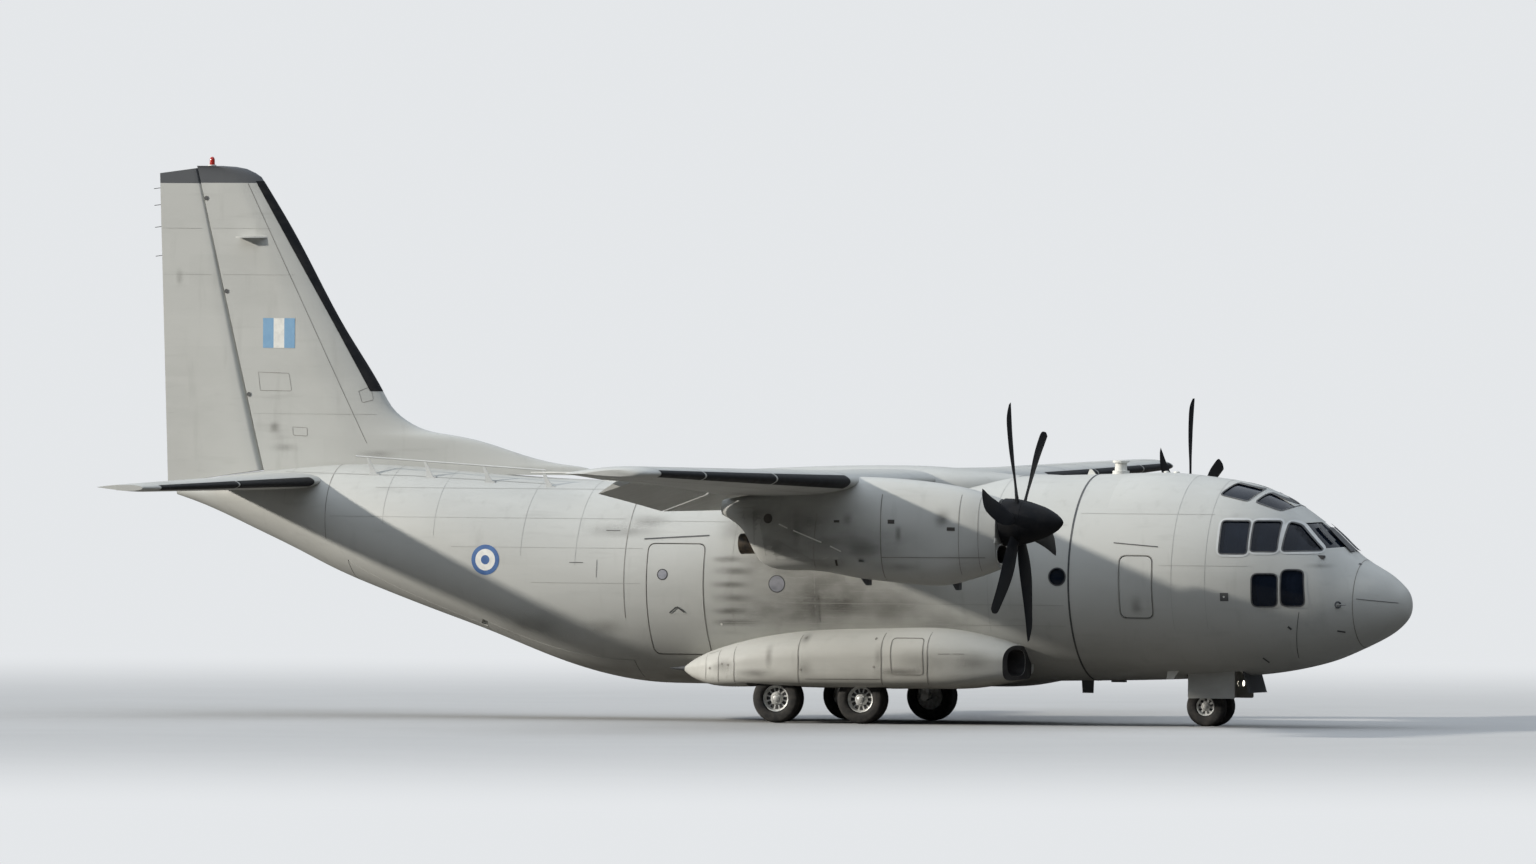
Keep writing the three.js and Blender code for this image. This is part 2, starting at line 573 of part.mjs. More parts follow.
const coneRoom = hull(-10300, 0, -WALL).intersect(box(-10300, 0, -2000, 2000, 2000, CONE_ROOM_TOP));
piece("tail_cone", largest(hull(-11000, TAIL_JOINT, 0).subtract(wholeTail(0.0004))).subtract(coneRoom), GREY);

// Nacelle: x, top, bottom, half width
const NACELLE = [
  [640, 3830, 3560, 200],
  [1040, 3900, 3270, 330],
  [1330, 3960, 2790, 440],
  [2250, 4180, 2640, 540],
  [3010, 4235, 2530, 570],
  [3890, 4200, 2440, 575],
  [4550, 4130, 2410, 560],
  [5120, 4020, 2540, 510],
  [5420, 3930, 2640, 450],
  [5590, 3880, 2710, 415],
];
const EXHAUST = { from: [930, ENGINE_Y, 3080], to: [1900, ENGINE_Y, 3120], outside: 175, inside: 145 };
const nacelleRings = NACELLE.map(([x, top, bottom, half]) => oval(x, ENGINE_Y, half, bottom, top, 2.4, 2.6, 20));
const chinIntake = loft([4700, 5700].map((x) => oval(x, ENGINE_Y, 300, 2790, 3100, 2.4, 2.4, 12)));
let nacelle = loft(nacelleRings).add(rod(EXHAUST.from, EXHAUST.to, EXHAUST.outside, 16));
for (const [scoopX, scoopZ, scoopY] of [[3130, 2400, 0], [4650, 2330, -250]]) {
  const y = ENGINE_Y + scoopY;
  nacelle = nacelle.add(alongY([[scoopX - 160, 2700], [scoopX + 90, scoopZ], [scoopX + 120, scoopZ],
    [scoopX + 120, 2700]], y - 70, y + 70));
}
nacelle = nacelle.subtract(wingCut).subtract(box(-500, 3020, 4000, 5500, 4060, 5000));
nacelle = largest(nacelle.subtract(chinIntake).subtract(rod([900, ENGINE_Y, 3079], EXHAUST.to, EXHAUST.inside, 16)));
piece("nacelle_left", nacelle, GREY);
piece("nacelle_right", mirrored(nacelle), GREY);

// Propeller: blade radius, chord, pitch degrees, sweep back of the middle, thickness
const BLADE = [
  [200, 150, 62, 0, 110],
  [420, 230, 56, 0, 70],
  [800, 350, 48, -20, 45],
  [1300, 380, 40, -20, 30],
  [1750, 330, 35, 30, 20],
  [1980, 240, 33, 100, 14],
  [2075, 110, 32, 170, 8],
];
const BLADES = 6;
const FIRST_BLADE = { left: 0, right: 20 }; // degrees from straight up, as parked
const HUB = [[-250, 0], [-250, 403], [0, 390], [100, 372], [100, 0]]; // distance along the shaft, radius
const SPINNER = [[101, 0], [101, 371], [200, 343], [320, 308], [450, 264], [570, 205], [670, 142], [740, 80], [785, 0]];

function bladeRing([radius, chord, pitch, sweep, thick]) {
  const p = (pitch * Math.PI) / 180;
  const section = [[-0.5, 0], [-0.25, 0.45], [0.2, 0.4], [0.5, 0], [0.2, -0.35], [-0.25, -0.4]];
  return section.map(([along, across]) => {
    const a = along * chord - sweep;
    const c = across * thick;
    return [a * Math.sin(p) + c * Math.cos(p), c * Math.sin(p) - a * Math.cos(p), radius];
  });
}

let propeller = turned(HUB, [0, 0, 0], X, 20);
for (let k = 0; k < BLADES; k += 1) {
  propeller = propeller.add(loft(BLADE.map(bladeRing)).rotate([(360 / BLADES) * k, 0, 0]));
}
const spinner = turned(SPINNER, [0, 0, 0], X, 20);
for (const [side, sign] of [["left", 1], ["right", -1]]) {
  const at = [PROPELLER_X, ENGINE_Y * sign, ENGINE_Z];
  piece(`propeller_${side}`, propeller.rotate([FIRST_BLADE[side], 0, 0]).translate(at), BLACK);
  piece(`spinner_${side}`, spinner.translate(at), BLACK);
}

// Sponson: x, top, bottom, outer side
const SPONSON_MIDDLE = 1450;
const SPONSON = [
  [-1140, 960, 850, 1610],
  [-990, 1060, 760, 1760],
  [-820, 1150, 690, 1870],
  [-590, 1240, 630, 2000],
  [100, 1430, 610, 2200],
  [1160, 1580, 600, 2340],
  [2710, 1640, 600, 2360],
  [3450, 1650, 610, 2340],
  [3990, 1590, 620, 2250],
  [4400, 1500, 680, 2130],
  [4700, 1410, 740, 2020],
  [4950, 1320, 800, 1900],
];
const SCOOP_LIP = [[4900, 1000], [4900, 1250], [4690, 2100], [4690, 2600], [5400, 2600], [5400, 1000]]; // X and Y
const sponsonRings = SPONSON.map(([x, top, bottom, outer]) => oval(x, SPONSON_MIDDLE, outer - SPONSON_MIDDLE, bottom,
  top, 2.2, 4.5, 20));
const WELL = [MAIN_WHEELS_X[0] - 520, MAIN_WHEELS_X[1] + 520, 1330, 2120, 960];
const sponsonIntake = loft([4300, 5100].map((x) => oval(x, 1580, 280, 840, 1290, 3, 3, 16)));
const sponson = loft(sponsonRings).add(rod([-1430, 1530, 905], [-1000, 1530, 905], 8, 12, 60))
  .subtract(box(WELL[0], WELL[1], WELL[2], WELL[3], 0, WELL[4])).subtract(alongZ(SCOOP_LIP, 400, 2000))
  .subtract(sponsonIntake);
for (const [side, body] of [["left", sponson], ["right", mirrored(sponson)]]) {
  piece(`sponson_${side}`, largest(body.subtract(hull(-3000, 6000, GAP))), PALE);
}

// Main leg: a beam under the roof of the well, one arm and one axle for each wheel
const LEG_Y = 1520;
const AXLE_RADIUS = 45;
let mainLeg = box(MAIN_WHEELS_X[0] - 60, MAIN_WHEELS_X[1] + 60, LEG_Y - 70, LEG_Y + 70, 840, WELL[4] - GAP);
for (const x of MAIN_WHEELS_X) {
  mainLeg = mainLeg.add(box(x - 70, x + 70, LEG_Y - 60, LEG_Y + 60, MAIN_RADIUS - 80, 900));
  mainLeg = mainLeg.add(rod([x, LEG_Y, MAIN_RADIUS], [x, MAIN_WHEEL_Y + 120, MAIN_RADIUS], AXLE_RADIUS, 16));
}
piece("main_leg_left", mainLeg, METAL);
piece("main_leg_right", mirrored(mainLeg), METAL);

// Wheels: a tyre around a hub with a bore; widths and radii in millimetres
const MAIN_WHEEL = { radius: MAIN_RADIUS, width: 380, rim: 230, bore: AXLE_RADIUS + 4 };
const NOSE_WHEEL = { radius: NOSE_RADIUS, width: 220, rim: 165, bore: 30 };

function tyre(wheel, at) {
  const [r, half, rim] = [wheel.radius, wheel.width / 2, wheel.rim];
  const profile = [[-half * 0.72, rim], [-half, rim + (r - rim) * 0.35], [-half * 0.97, r - (r - rim) * 0.24],
    [-half * 0.8, r - (r - rim) * 0.05], [-half * 0.45, r], [half * 0.45, r], [half * 0.8, r - (r - rim) * 0.05],
    [half * 0.97, r - (r - rim) * 0.24], [half, rim + (r - rim) * 0.35], [half * 0.72, rim], [-half * 0.72, rim]];
  return turned(profile, at, Y, WHEEL_SIDES);
}

function hub(wheel, at, bore) {
  const [half, rim] = [wheel.width * 0.36, wheel.rim - GAP];
  const profile = [[-half, bore], [-half, rim], [half, rim], [half, rim - 25], [half * 0.6, rim - 45],
    [half * 0.8, bore], [-half, bore]];
  return turned(profile, at, Y, WHEEL_SIDES);
}

MAIN_WHEELS_X.forEach((x, i) => {
  for (const [side, flip] of [["left", (b) => b], ["right", mirrored]]) {
    const end = `${side}_${i === 0 ? "rear" : "front"}`;
    const at = [x, MAIN_WHEEL_Y, MAIN_RADIUS];
    piece(`main_tyre_${end}`, flip(tyre(MAIN_WHEEL, at)), RUBBER);
    piece(`main_hub_${end}`, flip(hub(MAIN_WHEEL, at, MAIN_WHEEL.bore)), METAL);
  }
});

// Nose gear: a fixed strut, a steered fork with its axle, twin wheels on one sleeve
const STRUT_RADIUS = 75;
const COLLAR = 760; // where the steered part starts
piece("nose_leg", join(rod([STEERING_X, 0, COLLAR + 8], [STEERING_X, 0, COCKPIT_FLOOR - 60 - GAP], STRUT_RADIUS, 16),
  rod([STEERING_X + 20, 0, 1150], [STEERING_X + 640, 0, 1500], 35, 8),
  box(STEERING_X + 600, STEERING_X + 680, -120, 120, 1450, 1929), box(8330, 8370, -20, 20, 740, 1440),
  box(8330, 8370, -200, 200, 720, 760), rod([8340, -160, 740], [8430, -160, 740], 50, 12, 60),
  rod([8340, 160, 740], [8430, 160, 740], 50, 12, 60)), PALE);
piece("nose_fork", join(rod([STEERING_X, 0, NOSE_RADIUS - 60], [STEERING_X, 0, COLLAR], 60, 16),
  box(NOSE_WHEEL_X - 60, STEERING_X + 50, -50, 50, NOSE_RADIUS - 60, NOSE_RADIUS + 70),
  rod([NOSE_WHEEL_X, -NOSE_WHEEL_Y - 60, NOSE_RADIUS], [NOSE_WHEEL_X, NOSE_WHEEL_Y + 60, NOSE_RADIUS], 26, 12)), METAL);
for (const [side, sign] of [["left", 1], ["right", -1]]) {
  const at = [NOSE_WHEEL_X, NOSE_WHEEL_Y * sign, NOSE_RADIUS];
  piece(`nose_tyre_${side}`, tyre(NOSE_WHEEL, at), RUBBER);
  const half = hub(NOSE_WHEEL, [0, 0, 0], NOSE_WHEEL.bore);
  piece(`nose_hub_${side}`, (sign > 0 ? half : mirrored(half)).translate(at), METAL);
  const y = (GEAR_BAY[2] + 15) * sign;
  const panel = box(7555, 8390, Math.min(y, y + 25 * sign), Math.max(y, y + 25 * sign), 480, 1050);
  piece(`nose_door_${side}`, largest(panel.subtract(hull(7000, 9000, GAP))), GREY);
}
const frontPanel = alongY([[8465, 1100], [8495, 1100], [8650, 580], [8620, 580]], -480, 480);
piece("nose_door_front", largest(frontPanel.subtract(hull(7000, 9000, GAP))), DARK);

// Rail aerial on the roof: foot and head of each post as x and z, 700 to starboard
const RAIL = [[-7120, 4170, -7260, 4470], [-6090, 4130, -6210, 4410], [-5010, 4060, -5140, 4340], [-3910, 3980, -4060, 4270]];
const RAIL_Y = -700;
let rail = rod([-7470, RAIL_Y, 4482], [-4000, RAIL_Y, 4266], 14, 8);
for (const [footX, footZ, headX, headZ] of RAIL) {
  rail = rail.add(rod([footX, RAIL_Y, footZ - 100], [headX, RAIL_Y, headZ], 12, 8));
}
piece("rail_aerial", largest(rail.subtract(hull(-9000, 0, GAP))), DARK);

export default plane;
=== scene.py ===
# Looks of a parked twin turboprop transport plane, in metres: X forward, Y to port, Z up.
import math

import bpy
import numpy as np
from mathutils import Matrix, Vector


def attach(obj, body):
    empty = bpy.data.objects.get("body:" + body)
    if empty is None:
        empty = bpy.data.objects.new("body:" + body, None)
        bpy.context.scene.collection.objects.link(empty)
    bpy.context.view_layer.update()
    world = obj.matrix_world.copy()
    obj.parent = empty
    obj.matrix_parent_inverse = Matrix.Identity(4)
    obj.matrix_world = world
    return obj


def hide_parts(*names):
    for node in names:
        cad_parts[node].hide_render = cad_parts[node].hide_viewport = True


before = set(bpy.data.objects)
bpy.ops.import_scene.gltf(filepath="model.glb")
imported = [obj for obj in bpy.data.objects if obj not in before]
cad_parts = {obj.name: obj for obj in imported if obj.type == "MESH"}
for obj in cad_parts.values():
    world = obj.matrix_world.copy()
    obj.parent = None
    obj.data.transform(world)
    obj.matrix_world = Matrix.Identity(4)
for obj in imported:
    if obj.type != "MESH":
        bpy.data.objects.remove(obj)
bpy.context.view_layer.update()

# Camera: where the photograph was taken from
LOOK_AT = Vector((0.0, 0.0, 3.5))
CAMERA_AWAY = 380.0
CAMERA_TURN = math.radians(18.71)  # from abeam towards the nose, on the starboard side
CAMERA_RISE = math.radians(0.528)
CAMERA_ROLL = math.radians(0.37)
PIXELS_PER_METRE = 58.264  # at LOOK_AT, in the photograph's 1536 pixel width
PHOTO = (1536, 864)
LOOK_AT_PIXEL = (779.0, 516.7)
SENSOR = 36.0


def add_camera():
    back = Vector((math.sin(CAMERA_TURN) * math.cos(CAMERA_RISE),
                   -math.cos(CAMERA_TURN) * math.cos(CAMERA_RISE),
                   math.sin(CAMERA_RISE)))
    level = Vector((math.cos(CAMERA_TURN), math.sin(CAMERA_TURN), 0.0))
    up = back.cross(level)
    focal = PIXELS_PER_METRE * CAMERA_AWAY
    right = level * math.cos(CAMERA_ROLL) + up * math.sin(CAMERA_ROLL)
    above = up * math.cos(CAMERA_ROLL) - level * math.sin(CAMERA_ROLL)
    across = (PHOTO[0] / 2 - LOOK_AT_PIXEL[0]) / focal
    down = (PHOTO[1] / 2 - LOOK_AT_PIXEL[1]) / focal
    aim = (right * across - above * down - back).normalized()
    right = (right - aim * right.dot(aim)).normalized()
    above = right.cross(aim)
    camera = bpy.data.objects.new("camera", bpy.data.cameras.new("camera"))
    camera.data.sensor_width = SENSOR
    camera.data.lens = focal / PHOTO[0] * SENSOR
    camera.data.clip_start = 1.0
    camera.data.clip_end = 3000.0
    turn = Matrix((right, above, -aim)).transposed().to_4x4()
    camera.matrix_world = Matrix.Translation(LOOK_AT + back * CAMERA_AWAY) @ turn
    bpy.context.scene.collection.objects.link(camera)
    bpy.context.scene.camera = camera


# Node materials
BUMP_HEIGHT = 0.004


class Look:
    """A node material with a few short calls for the textures it mixes."""

    def __init__(self, name, rough=0.5, metal=0.0, specular=0.5):
        self.material = bpy.data.materials.new(name)
        self.material.use_nodes = True
        self.tree = self.material.node_tree
        self.shader = self.tree.nodes["Principled BSDF"]
        for key, value in (("Metallic", metal), ("Roughness", rough), ("Specular IOR Level", specular)):
            self.shader.inputs[key].default_value = value
        self.place = self.node("TexCoord").outputs["Object"]
        split = self.node("SeparateXYZ")
        self.put(split.inputs[0], self.place)
        self.x, _, self.z = split.outputs

    def node(self, kind, how=None):
        node = self.tree.nodes.new("ShaderNode" + kind)
        if how:
            node.operation = how
        return node

    def put(self, socket, value):
        if isinstance(value, bpy.types.NodeSocket):
            self.tree.links.new(value, socket)
        elif isinstance(value, (tuple, list)) and len(value) == 3 and socket.type == "RGBA":
            socket.default_value = (*value, 1.0)
        else:
            socket.default_value = value

    def scaled(self, size):
        """The place divided by a size along each axis."""
        node = self.node("VectorMath", "MULTIPLY")
        self.put(node.inputs[0], self.place)
        node.inputs[1].default_value = [1.0 / s for s in size]
        return node.outputs[0]

    def noise(self, size, detail=4.0, rough=0.55):
        node = self.node("TexNoise")
        self.put(node.inputs["Vector"], self.scaled(size))
        for key, value in (("Scale", 1.0), ("Detail", detail), ("Roughness", rough)):
            node.inputs[key].default_value = value
        return node.outputs["Fac"]

    def math(self, how, a, b):
        node = self.node("Math", how)
        self.put(node.inputs[0], a)
        self.put(node.inputs[1], b)
        return node.outputs[0]

    def step(self, value, low, high, to_low=0.0, to_high=1.0):
        """A value spread smoothly between two limits."""
        node = self.node("MapRange")
        node.interpolation_type = "SMOOTHSTEP"
        self.put(node.inputs["Value"], value)
        for key, number in zip(("From Min", "From Max", "To Min", "To Max"), (low, high, to_low, to_high)):
            node.inputs[key].default_value = number
        return node.outputs[0]

    def mix(self, share, a, b):
        node = self.node("Mix")
        node.data_type = "RGBA"
        for place, value in ((0, share), (6, a), (7, b)):
            self.put(node.inputs[place], value)
        return node.outputs[2]

    def panels(self, across, up, size, a, b):
        """Rectangles of two shades in rows, as sheets that were painted apart."""
        node = self.node("TexBrick")
        both = self.node("CombineXYZ")
        self.put(both.inputs[0], across)
        self.put(both.inputs[1], up)
        self.put(node.inputs["Vector"], both.outputs[0])
        self.put(node.inputs["Color1"], a)
        self.put(node.inputs["Color2"], b)
        for key, number in (("Scale", 1.0), ("Mortar Size", 0.0), ("Brick Width", size[0]),
                            ("Row Height", size[1])):
            node.inputs[key].default_value = number
        return node.outputs["Color"]

    def bump(self, height, strength):
        node = self.node("Bump")
        node.inputs["Strength"].default_value = strength
        node.inputs["Distance"].default_value = BUMP_HEIGHT
        self.put(node.inputs["Height"], height)
        self.put(self.shader.inputs["Normal"], node.outputs[0])

    def finish(self, color, rough=None):
        self.put(self.shader.inputs["Base Color"], color)
        if rough is not None:
            self.put(self.shader.inputs["Roughness"], rough)
        return self.material


def body_paint(name, base, weather=1.0):
    """Flat low-visibility paint: sheets of slightly different shade, soft smudges, runs, and patches darker
    towards the bottom.
    """
    look = Look(name, rough=0.6, specular=0.3)
    pale = tuple(min(1.0, c * 1.035) for c in base)
    deep = tuple(c * 0.955 for c in base)
    color = look.panels(look.x, look.z, (1.27, 0.53), pale, deep)
    color = look.mix(look.step(look.noise((1.8, 1.8, 0.9), 5.0), 0.3, 0.7, 0.25, 0.9), color, base)
    blotch = look.step(look.noise((2.6, 1.6, 1.2), 7.0, 0.62), 0.44, 0.74, 0.0, 0.26 * weather)
    color = look.mix(blotch, color, tuple(c * 0.7 for c in base))
    rub = look.step(look.noise((0.9, 0.5, 0.35), 5.0, 0.6), 0.54, 0.78, 0.0, 0.22 * weather)
    color = look.mix(rub, color, tuple(min(1.0, c * 1.16) for c in base))
    drip = look.step(look.noise((0.22, 0.22, 1.3), 4.0, 0.5), 0.56, 0.8, 0.0, 0.16 * weather)
    color = look.mix(drip, color, (0.17, 0.165, 0.15))
    smear = look.step(look.noise((1.1, 0.25, 0.16), 4.0, 0.5), 0.58, 0.82, 0.0, 0.2 * weather)
    color = look.mix(smear, color, (0.2, 0.195, 0.18))
    # Patches darker towards the bottom, set by height alone.
    low = look.step(look.z, 1.5, 0.6, 0.0, 0.4 * weather)
    darker_low = look.math("MULTIPLY", low, look.step(look.noise((0.8, 0.4, 0.4), 6.0), 0.25, 0.75))
    color = look.mix(darker_low, color, (0.17, 0.16, 0.14))
    rough = look.step(look.noise((0.35, 0.35, 0.35), 6.0), 0.2, 0.8, 0.46, 0.68)
    look.bump(look.noise((0.6, 0.6, 0.6), 2.0), 0.1)
    return look.finish(color, rough)


# Mesh making
class Bag:
    """Vertices and faces gathered for one piece."""

    def __init__(self):
        self.points = []
        self.faces = []
        self.slots = []

    def add(self, shape, slot=0):
        points, faces = shape
        start = len(self.points)
        self.points.extend(tuple(float(c) for c in p) for p in points)
        self.faces.extend(tuple(i + start for i in face) for face in faces)
        self.slots.extend([slot] * len(faces))
        return self

    def make(self, name, materials, sharp=35.0):
        mesh = bpy.data.meshes.new(name)
        mesh.from_pydata(self.points, [], self.faces)
        for material in materials:
            mesh.materials.append(material)
        mesh.polygons.foreach_set("material_index", self.slots)
        mesh.polygons.foreach_set("use_smooth", [True] * len(self.faces))
        mesh.set_sharp_from_angle(angle=math.radians(sharp))
        mesh.update()
        item = bpy.data.objects.new(name, mesh)
        bpy.context.scene.collection.objects.link(item)
        return item


def piece(item, body, replaces):
    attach(item, body)
    if replaces:
        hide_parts(*replaces)


def mark(bag, name, look, body="airframe"):
    """A piece that stands for no solid of the frame."""
    piece(bag.make(name, look if isinstance(look, list) else [look]), body, [])


def mirror(shape):
    points, faces = shape
    return [(p[0], -p[1], p[2]) for p in points], [tuple(reversed(face)) for face in faces]


SIDES = (1, -1)
HANDS = (("left", 1), ("right", -1))
PUTS = (("left", lambda shape: shape), ("right", mirror))
TURN = 2 * math.pi


def full_turn(count):
    return np.linspace(0, TURN, count, endpoint=False)


def grid(rows, around=True, ends=(True, True)):
    """Faces over rows of equally many points; around closes each row, ends close the first and last."""
    rows = np.asarray(rows, float)
    count, width = rows.shape[:2]
    points = [tuple(p) for row in rows for p in row]
    faces = []
    for r in range(count - 1):
        for k in range(width if around else width - 1):
            a, b = r * width + k, r * width + (k + 1) % width
            faces.append((a, b, b + width, a + width))
    if around and ends[0]:
        faces.append(tuple(reversed(range(width))))
    if around and ends[1]:
        faces.append(tuple(range((count - 1) * width, count * width)))
    return points, faces


def outward(shape):
    """The same closed shape with its faces turned out."""
    points, faces = shape
    p = np.asarray(points, float)
    volume = 0.0
    for face in faces:
        a = p[face[0]]
        for i in range(1, len(face) - 1):
            volume += float(np.dot(a, np.cross(p[face[i]], p[face[i + 1]])))
    if volume < 0:
        faces = [tuple(reversed(face)) for face in faces]
    return points, faces


def tube(path, radius, sides=10):
    """A round bar along a path; radius is a number or one for each point."""
    path = [Vector(p) for p in path]
    radii = radius if isinstance(radius, (list, tuple)) else [radius] * len(path)
    rows = []
    guide = None
    for i, p in enumerate(path):
        along = (path[min(i + 1, len(path) - 1)] - path[max(i - 1, 0)]).normalized()
        if guide is None:
            guide = along.orthogonal().normalized()
        guide = (guide - along * guide.dot(along)).normalized()
        other = along.cross(guide)
        rows.append([p + guide * math.cos(a) * radii[i] + other * math.sin(a) * radii[i]
                     for a in (TURN * k / sides for k in range(sides))])
    return outward(grid(rows))


def directions(at, axis):
    """The point, axis and two cross directions that a solid of revolution uses."""
    axis = Vector(axis).normalized()
    one = axis.orthogonal().normalized()
    return Vector(at), axis, one, axis.cross(one)


def turned(profile, at, axis, sides=48):
    """A solid of revolution: profile of (distance along the axis, radius), closed at the axis."""
    at, axis, one, two = directions(at, axis)
    rows = [[at + axis * a + (one * math.cos(t) + two * math.sin(t)) * max(r, 1e-5)
             for t in (TURN * k / sides for k in range(sides))] for a, r in profile]
    return outward(grid(rows))


def ring(profile, at, axis, sides=48):
    """A solid of revolution whose profile is a closed loop off the axis."""
    at, axis, one, two = directions(at, axis)
    rows = [[at + axis * a + (one * math.cos(t) + two * math.sin(t)) * r for a, r in profile]
            for t in (TURN * k / sides for k in range(sides))]
    rows.append(rows[0])
    points, faces = grid(rows, True, (False, False))
    width = len(profile)
    last = (len(rows) - 1) * width
    points = points[:last]
    faces = [tuple(i % last if i >= last else i for i in face) for face in faces]
    return outward((points, faces))


def block(low, high):
    """A box between two corners."""
    points = [Vector((x, y, z)) for x in (low[0], high[0]) for y in (low[1], high[1]) for z in (low[2],
                                                                                                high[2])]
    faces = [(0, 1, 3, 2), (4, 6, 7, 5), (0, 4, 5, 1), (2, 3, 7, 6), (0, 2, 6, 4), (1, 5, 7, 3)]
    return outward((points, faces))


def prism(outline, low, high, axis):
    """An outline in the plane across an axis, drawn out along it."""
    order = {"x": (2, 0, 1), "y": (0, 2, 1), "z": (0, 1, 2)}[axis]
    rows = [[tuple((a, b, level)[i] for i in order) for a, b in outline] for level in (low, high)]
    return outward(grid(rows))


def rounded(corners, radius, steps=6):
    """An outline with its corners rounded."""
    corners = [Vector(c) for c in corners]
    out = []
    for i, c in enumerate(corners):
        before, after = corners[i - 1], corners[(i + 1) % len(corners)]
        one, two = (before - c), (after - c)
        reach = min(radius, one.length * 0.45, two.length * 0.45)
        a, b = c + one.normalized() * reach, c + two.normalized() * reach
        for k in range(steps + 1):
            t = k / steps
            out.append(tuple(a * (1 - t) ** 2 + c * 2 * t * (1 - t) + b * t ** 2))
    return out


def circle(at, radius, steps=32):
    return [(at[0] + radius * math.cos(TURN * k / steps), at[1] + radius * math.sin(TURN * k / steps))
            for k in range(steps)]


def carve(item, shapes, how="DIFFERENCE"):
    """Cuts shapes that don't touch each other out of a piece, or keeps what is inside them."""
    bag = Bag()
    for shape in shapes:
        bag.add(shape)
    knife = bag.make(f"{item.name}_knife", [])
    change = item.modifiers.new("cut", "BOOLEAN")
    change.operation = how
    change.solver = "MANIFOLD"
    change.object = knife
    settle(item)
    bpy.data.objects.remove(knife)
    return item


def settle(item):
    """Applies a piece's modifiers."""
    seen = item.evaluated_get(bpy.context.evaluated_depsgraph_get())
    mesh = bpy.data.meshes.new_from_object(seen)
    old = item.data
    item.modifiers.clear()
    item.data = mesh
    bpy.data.meshes.remove(old)
    mesh.name = item.name
    mesh.polygons.foreach_set("use_smooth", [True] * len(mesh.polygons))
    mesh.set_sharp_from_angle(angle=math.radians(35))


class Curve:
    """A smooth curve through the rows of a table, looked up by its first column."""

    def __init__(self, rows):
        rows = np.array(rows, float)
        gap = np.sqrt((np.diff(rows[:, :4], axis=0) ** 2).sum(axis=1))
        self.t = np.concatenate([[0.0], np.cumsum(gap)])
        count = len(rows)
        matrix, right = np.eye(count), np.zeros(rows.shape)
        for i in range(1, count - 1):
            matrix[i, i - 1], matrix[i, i], matrix[i, i + 1] = gap[i - 1], 2 * (gap[i - 1] + gap[i]), gap[i]
            right[i] = 6 * ((rows[i + 1] - rows[i]) / gap[i] - (rows[i] - rows[i - 1]) / gap[i - 1])
        self.rows, self.bend = rows, np.linalg.solve(matrix, right)
        self.dense = np.linspace(0.0, self.t[-1], 6000)
        self.first = self.at(self.dense)[:, 0]

    def at(self, t):
        t = np.atleast_1d(np.asarray(t, float))
        i = np.clip(np.searchsorted(self.t, t) - 1, 0, len(self.t) - 2)
        gap = (self.t[i + 1] - self.t[i])[:, None]
        a, b = (self.t[i + 1] - t)[:, None] / gap, (t - self.t[i])[:, None] / gap
        return (a * self.rows[i] + b * self.rows[i + 1]
                + ((a ** 3 - a) * self.bend[i] + (b ** 3 - b) * self.bend[i + 1]) * gap ** 2 / 6)

    def __call__(self, first):
        return self.at(np.interp(np.atleast_1d(first), self.first, self.dense))


class Skin:
    """A surface given by a function of two numbers, for what lies on it."""

    def __init__(self, point, sign=1.0):
        self.point, self.sign = point, sign

    def lifted(self, p, q, lift):
        p, q = np.atleast_1d(p).astype(float), np.atleast_1d(q).astype(float)
        e = 1e-3
        one = self.point(p + e, q) - self.point(p - e, q)
        two = self.point(p, q + e) - self.point(p, q - e)
        normal = np.cross(one, two)
        normal /= np.maximum(np.linalg.norm(normal, axis=1), 1e-12)[:, None]
        return self.point(p, q) + normal * lift * self.sign, normal * self.sign

    def strip(self, path, width, lift):
        """A flat band along a path of (p, q) pairs."""
        path = np.asarray(path, float)
        at, normal = self.lifted(path[:, 0], path[:, 1], lift)
        side = np.cross(np.gradient(at, axis=0), normal)
        side /= np.maximum(np.linalg.norm(side, axis=1), 1e-12)[:, None]
        return grid(np.stack([at + side * width / 2, at - side * width / 2], axis=1), around=False)

    def sheet(self, p, q, lift):
        """A patch over all pairs of p and q."""
        rows = [self.lifted(np.full(len(q), a), np.asarray(q, float), lift)[0] for a in p]
        return grid(rows, around=False)


# Fuselage: x, top, bottom, half width, squareness below
FUSELAGE = [
    (-11.0, 3.95, 3.79, 0.06, 2.0), (-10.6, 4.03, 3.66, 0.22, 2.0), (-9.48, 4.2, 3.19, 0.56, 2.0),
    (-8.71, 4.275, 2.85, 0.82, 2.1), (-8.0, 4.34, 2.52, 1.03, 2.2), (-7.12, 4.35, 2.18, 1.27, 2.3),
    (-6.0, 4.27, 1.79, 1.51, 2.4), (-5.0, 4.19, 1.45, 1.65, 2.5), (-3.78, 4.12, 0.99, 1.74, 2.4),
    (-2.27, 4.11, 0.65, 1.77, 2.1), (-1.5, 4.12, 0.625, 1.775, 2.0), (3.77, 4.215, 0.7, 1.775, 2.0),
    (5.09, 4.255, 0.74, 1.775, 2.0), (6.34, 4.3, 0.765, 1.773, 2.0), (7.31, 4.305, 0.797, 1.76, 2.0),
    (7.88, 4.245, 0.825, 1.725, 2.0), (8.49, 4.15, 0.87, 1.63, 2.0), (8.83, 4.05, 0.9, 1.55, 2.0),
    (9.31, 3.82, 0.97, 1.4, 2.0), (9.67, 3.58, 1.045, 1.27, 2.0), (10.03, 3.31, 1.145, 1.12, 2.0),
    (10.3, 3.06, 1.25, 0.985, 2.0), (10.57, 2.86, 1.37, 0.84, 2.0), (11.0, 2.61, 1.59, 0.56, 2.0),
    (11.18, 2.465, 1.725, 0.395, 2.0), (11.3, 2.33, 1.86, 0.245, 2.0), (11.345, 2.215, 1.96, 0.13, 2.0),
    (11.36, 2.11, 2.06, 0.03, 2.0)]
fuselage = Curve(FUSELAGE)
FRAME_JOINT, REAR_JOINT, TAIL_JOINT, RADOME_JOINT = 5.8, -2.2, -7.9, 10.57


def signed_power(value, power):
    return np.sign(value) * np.abs(value) ** power


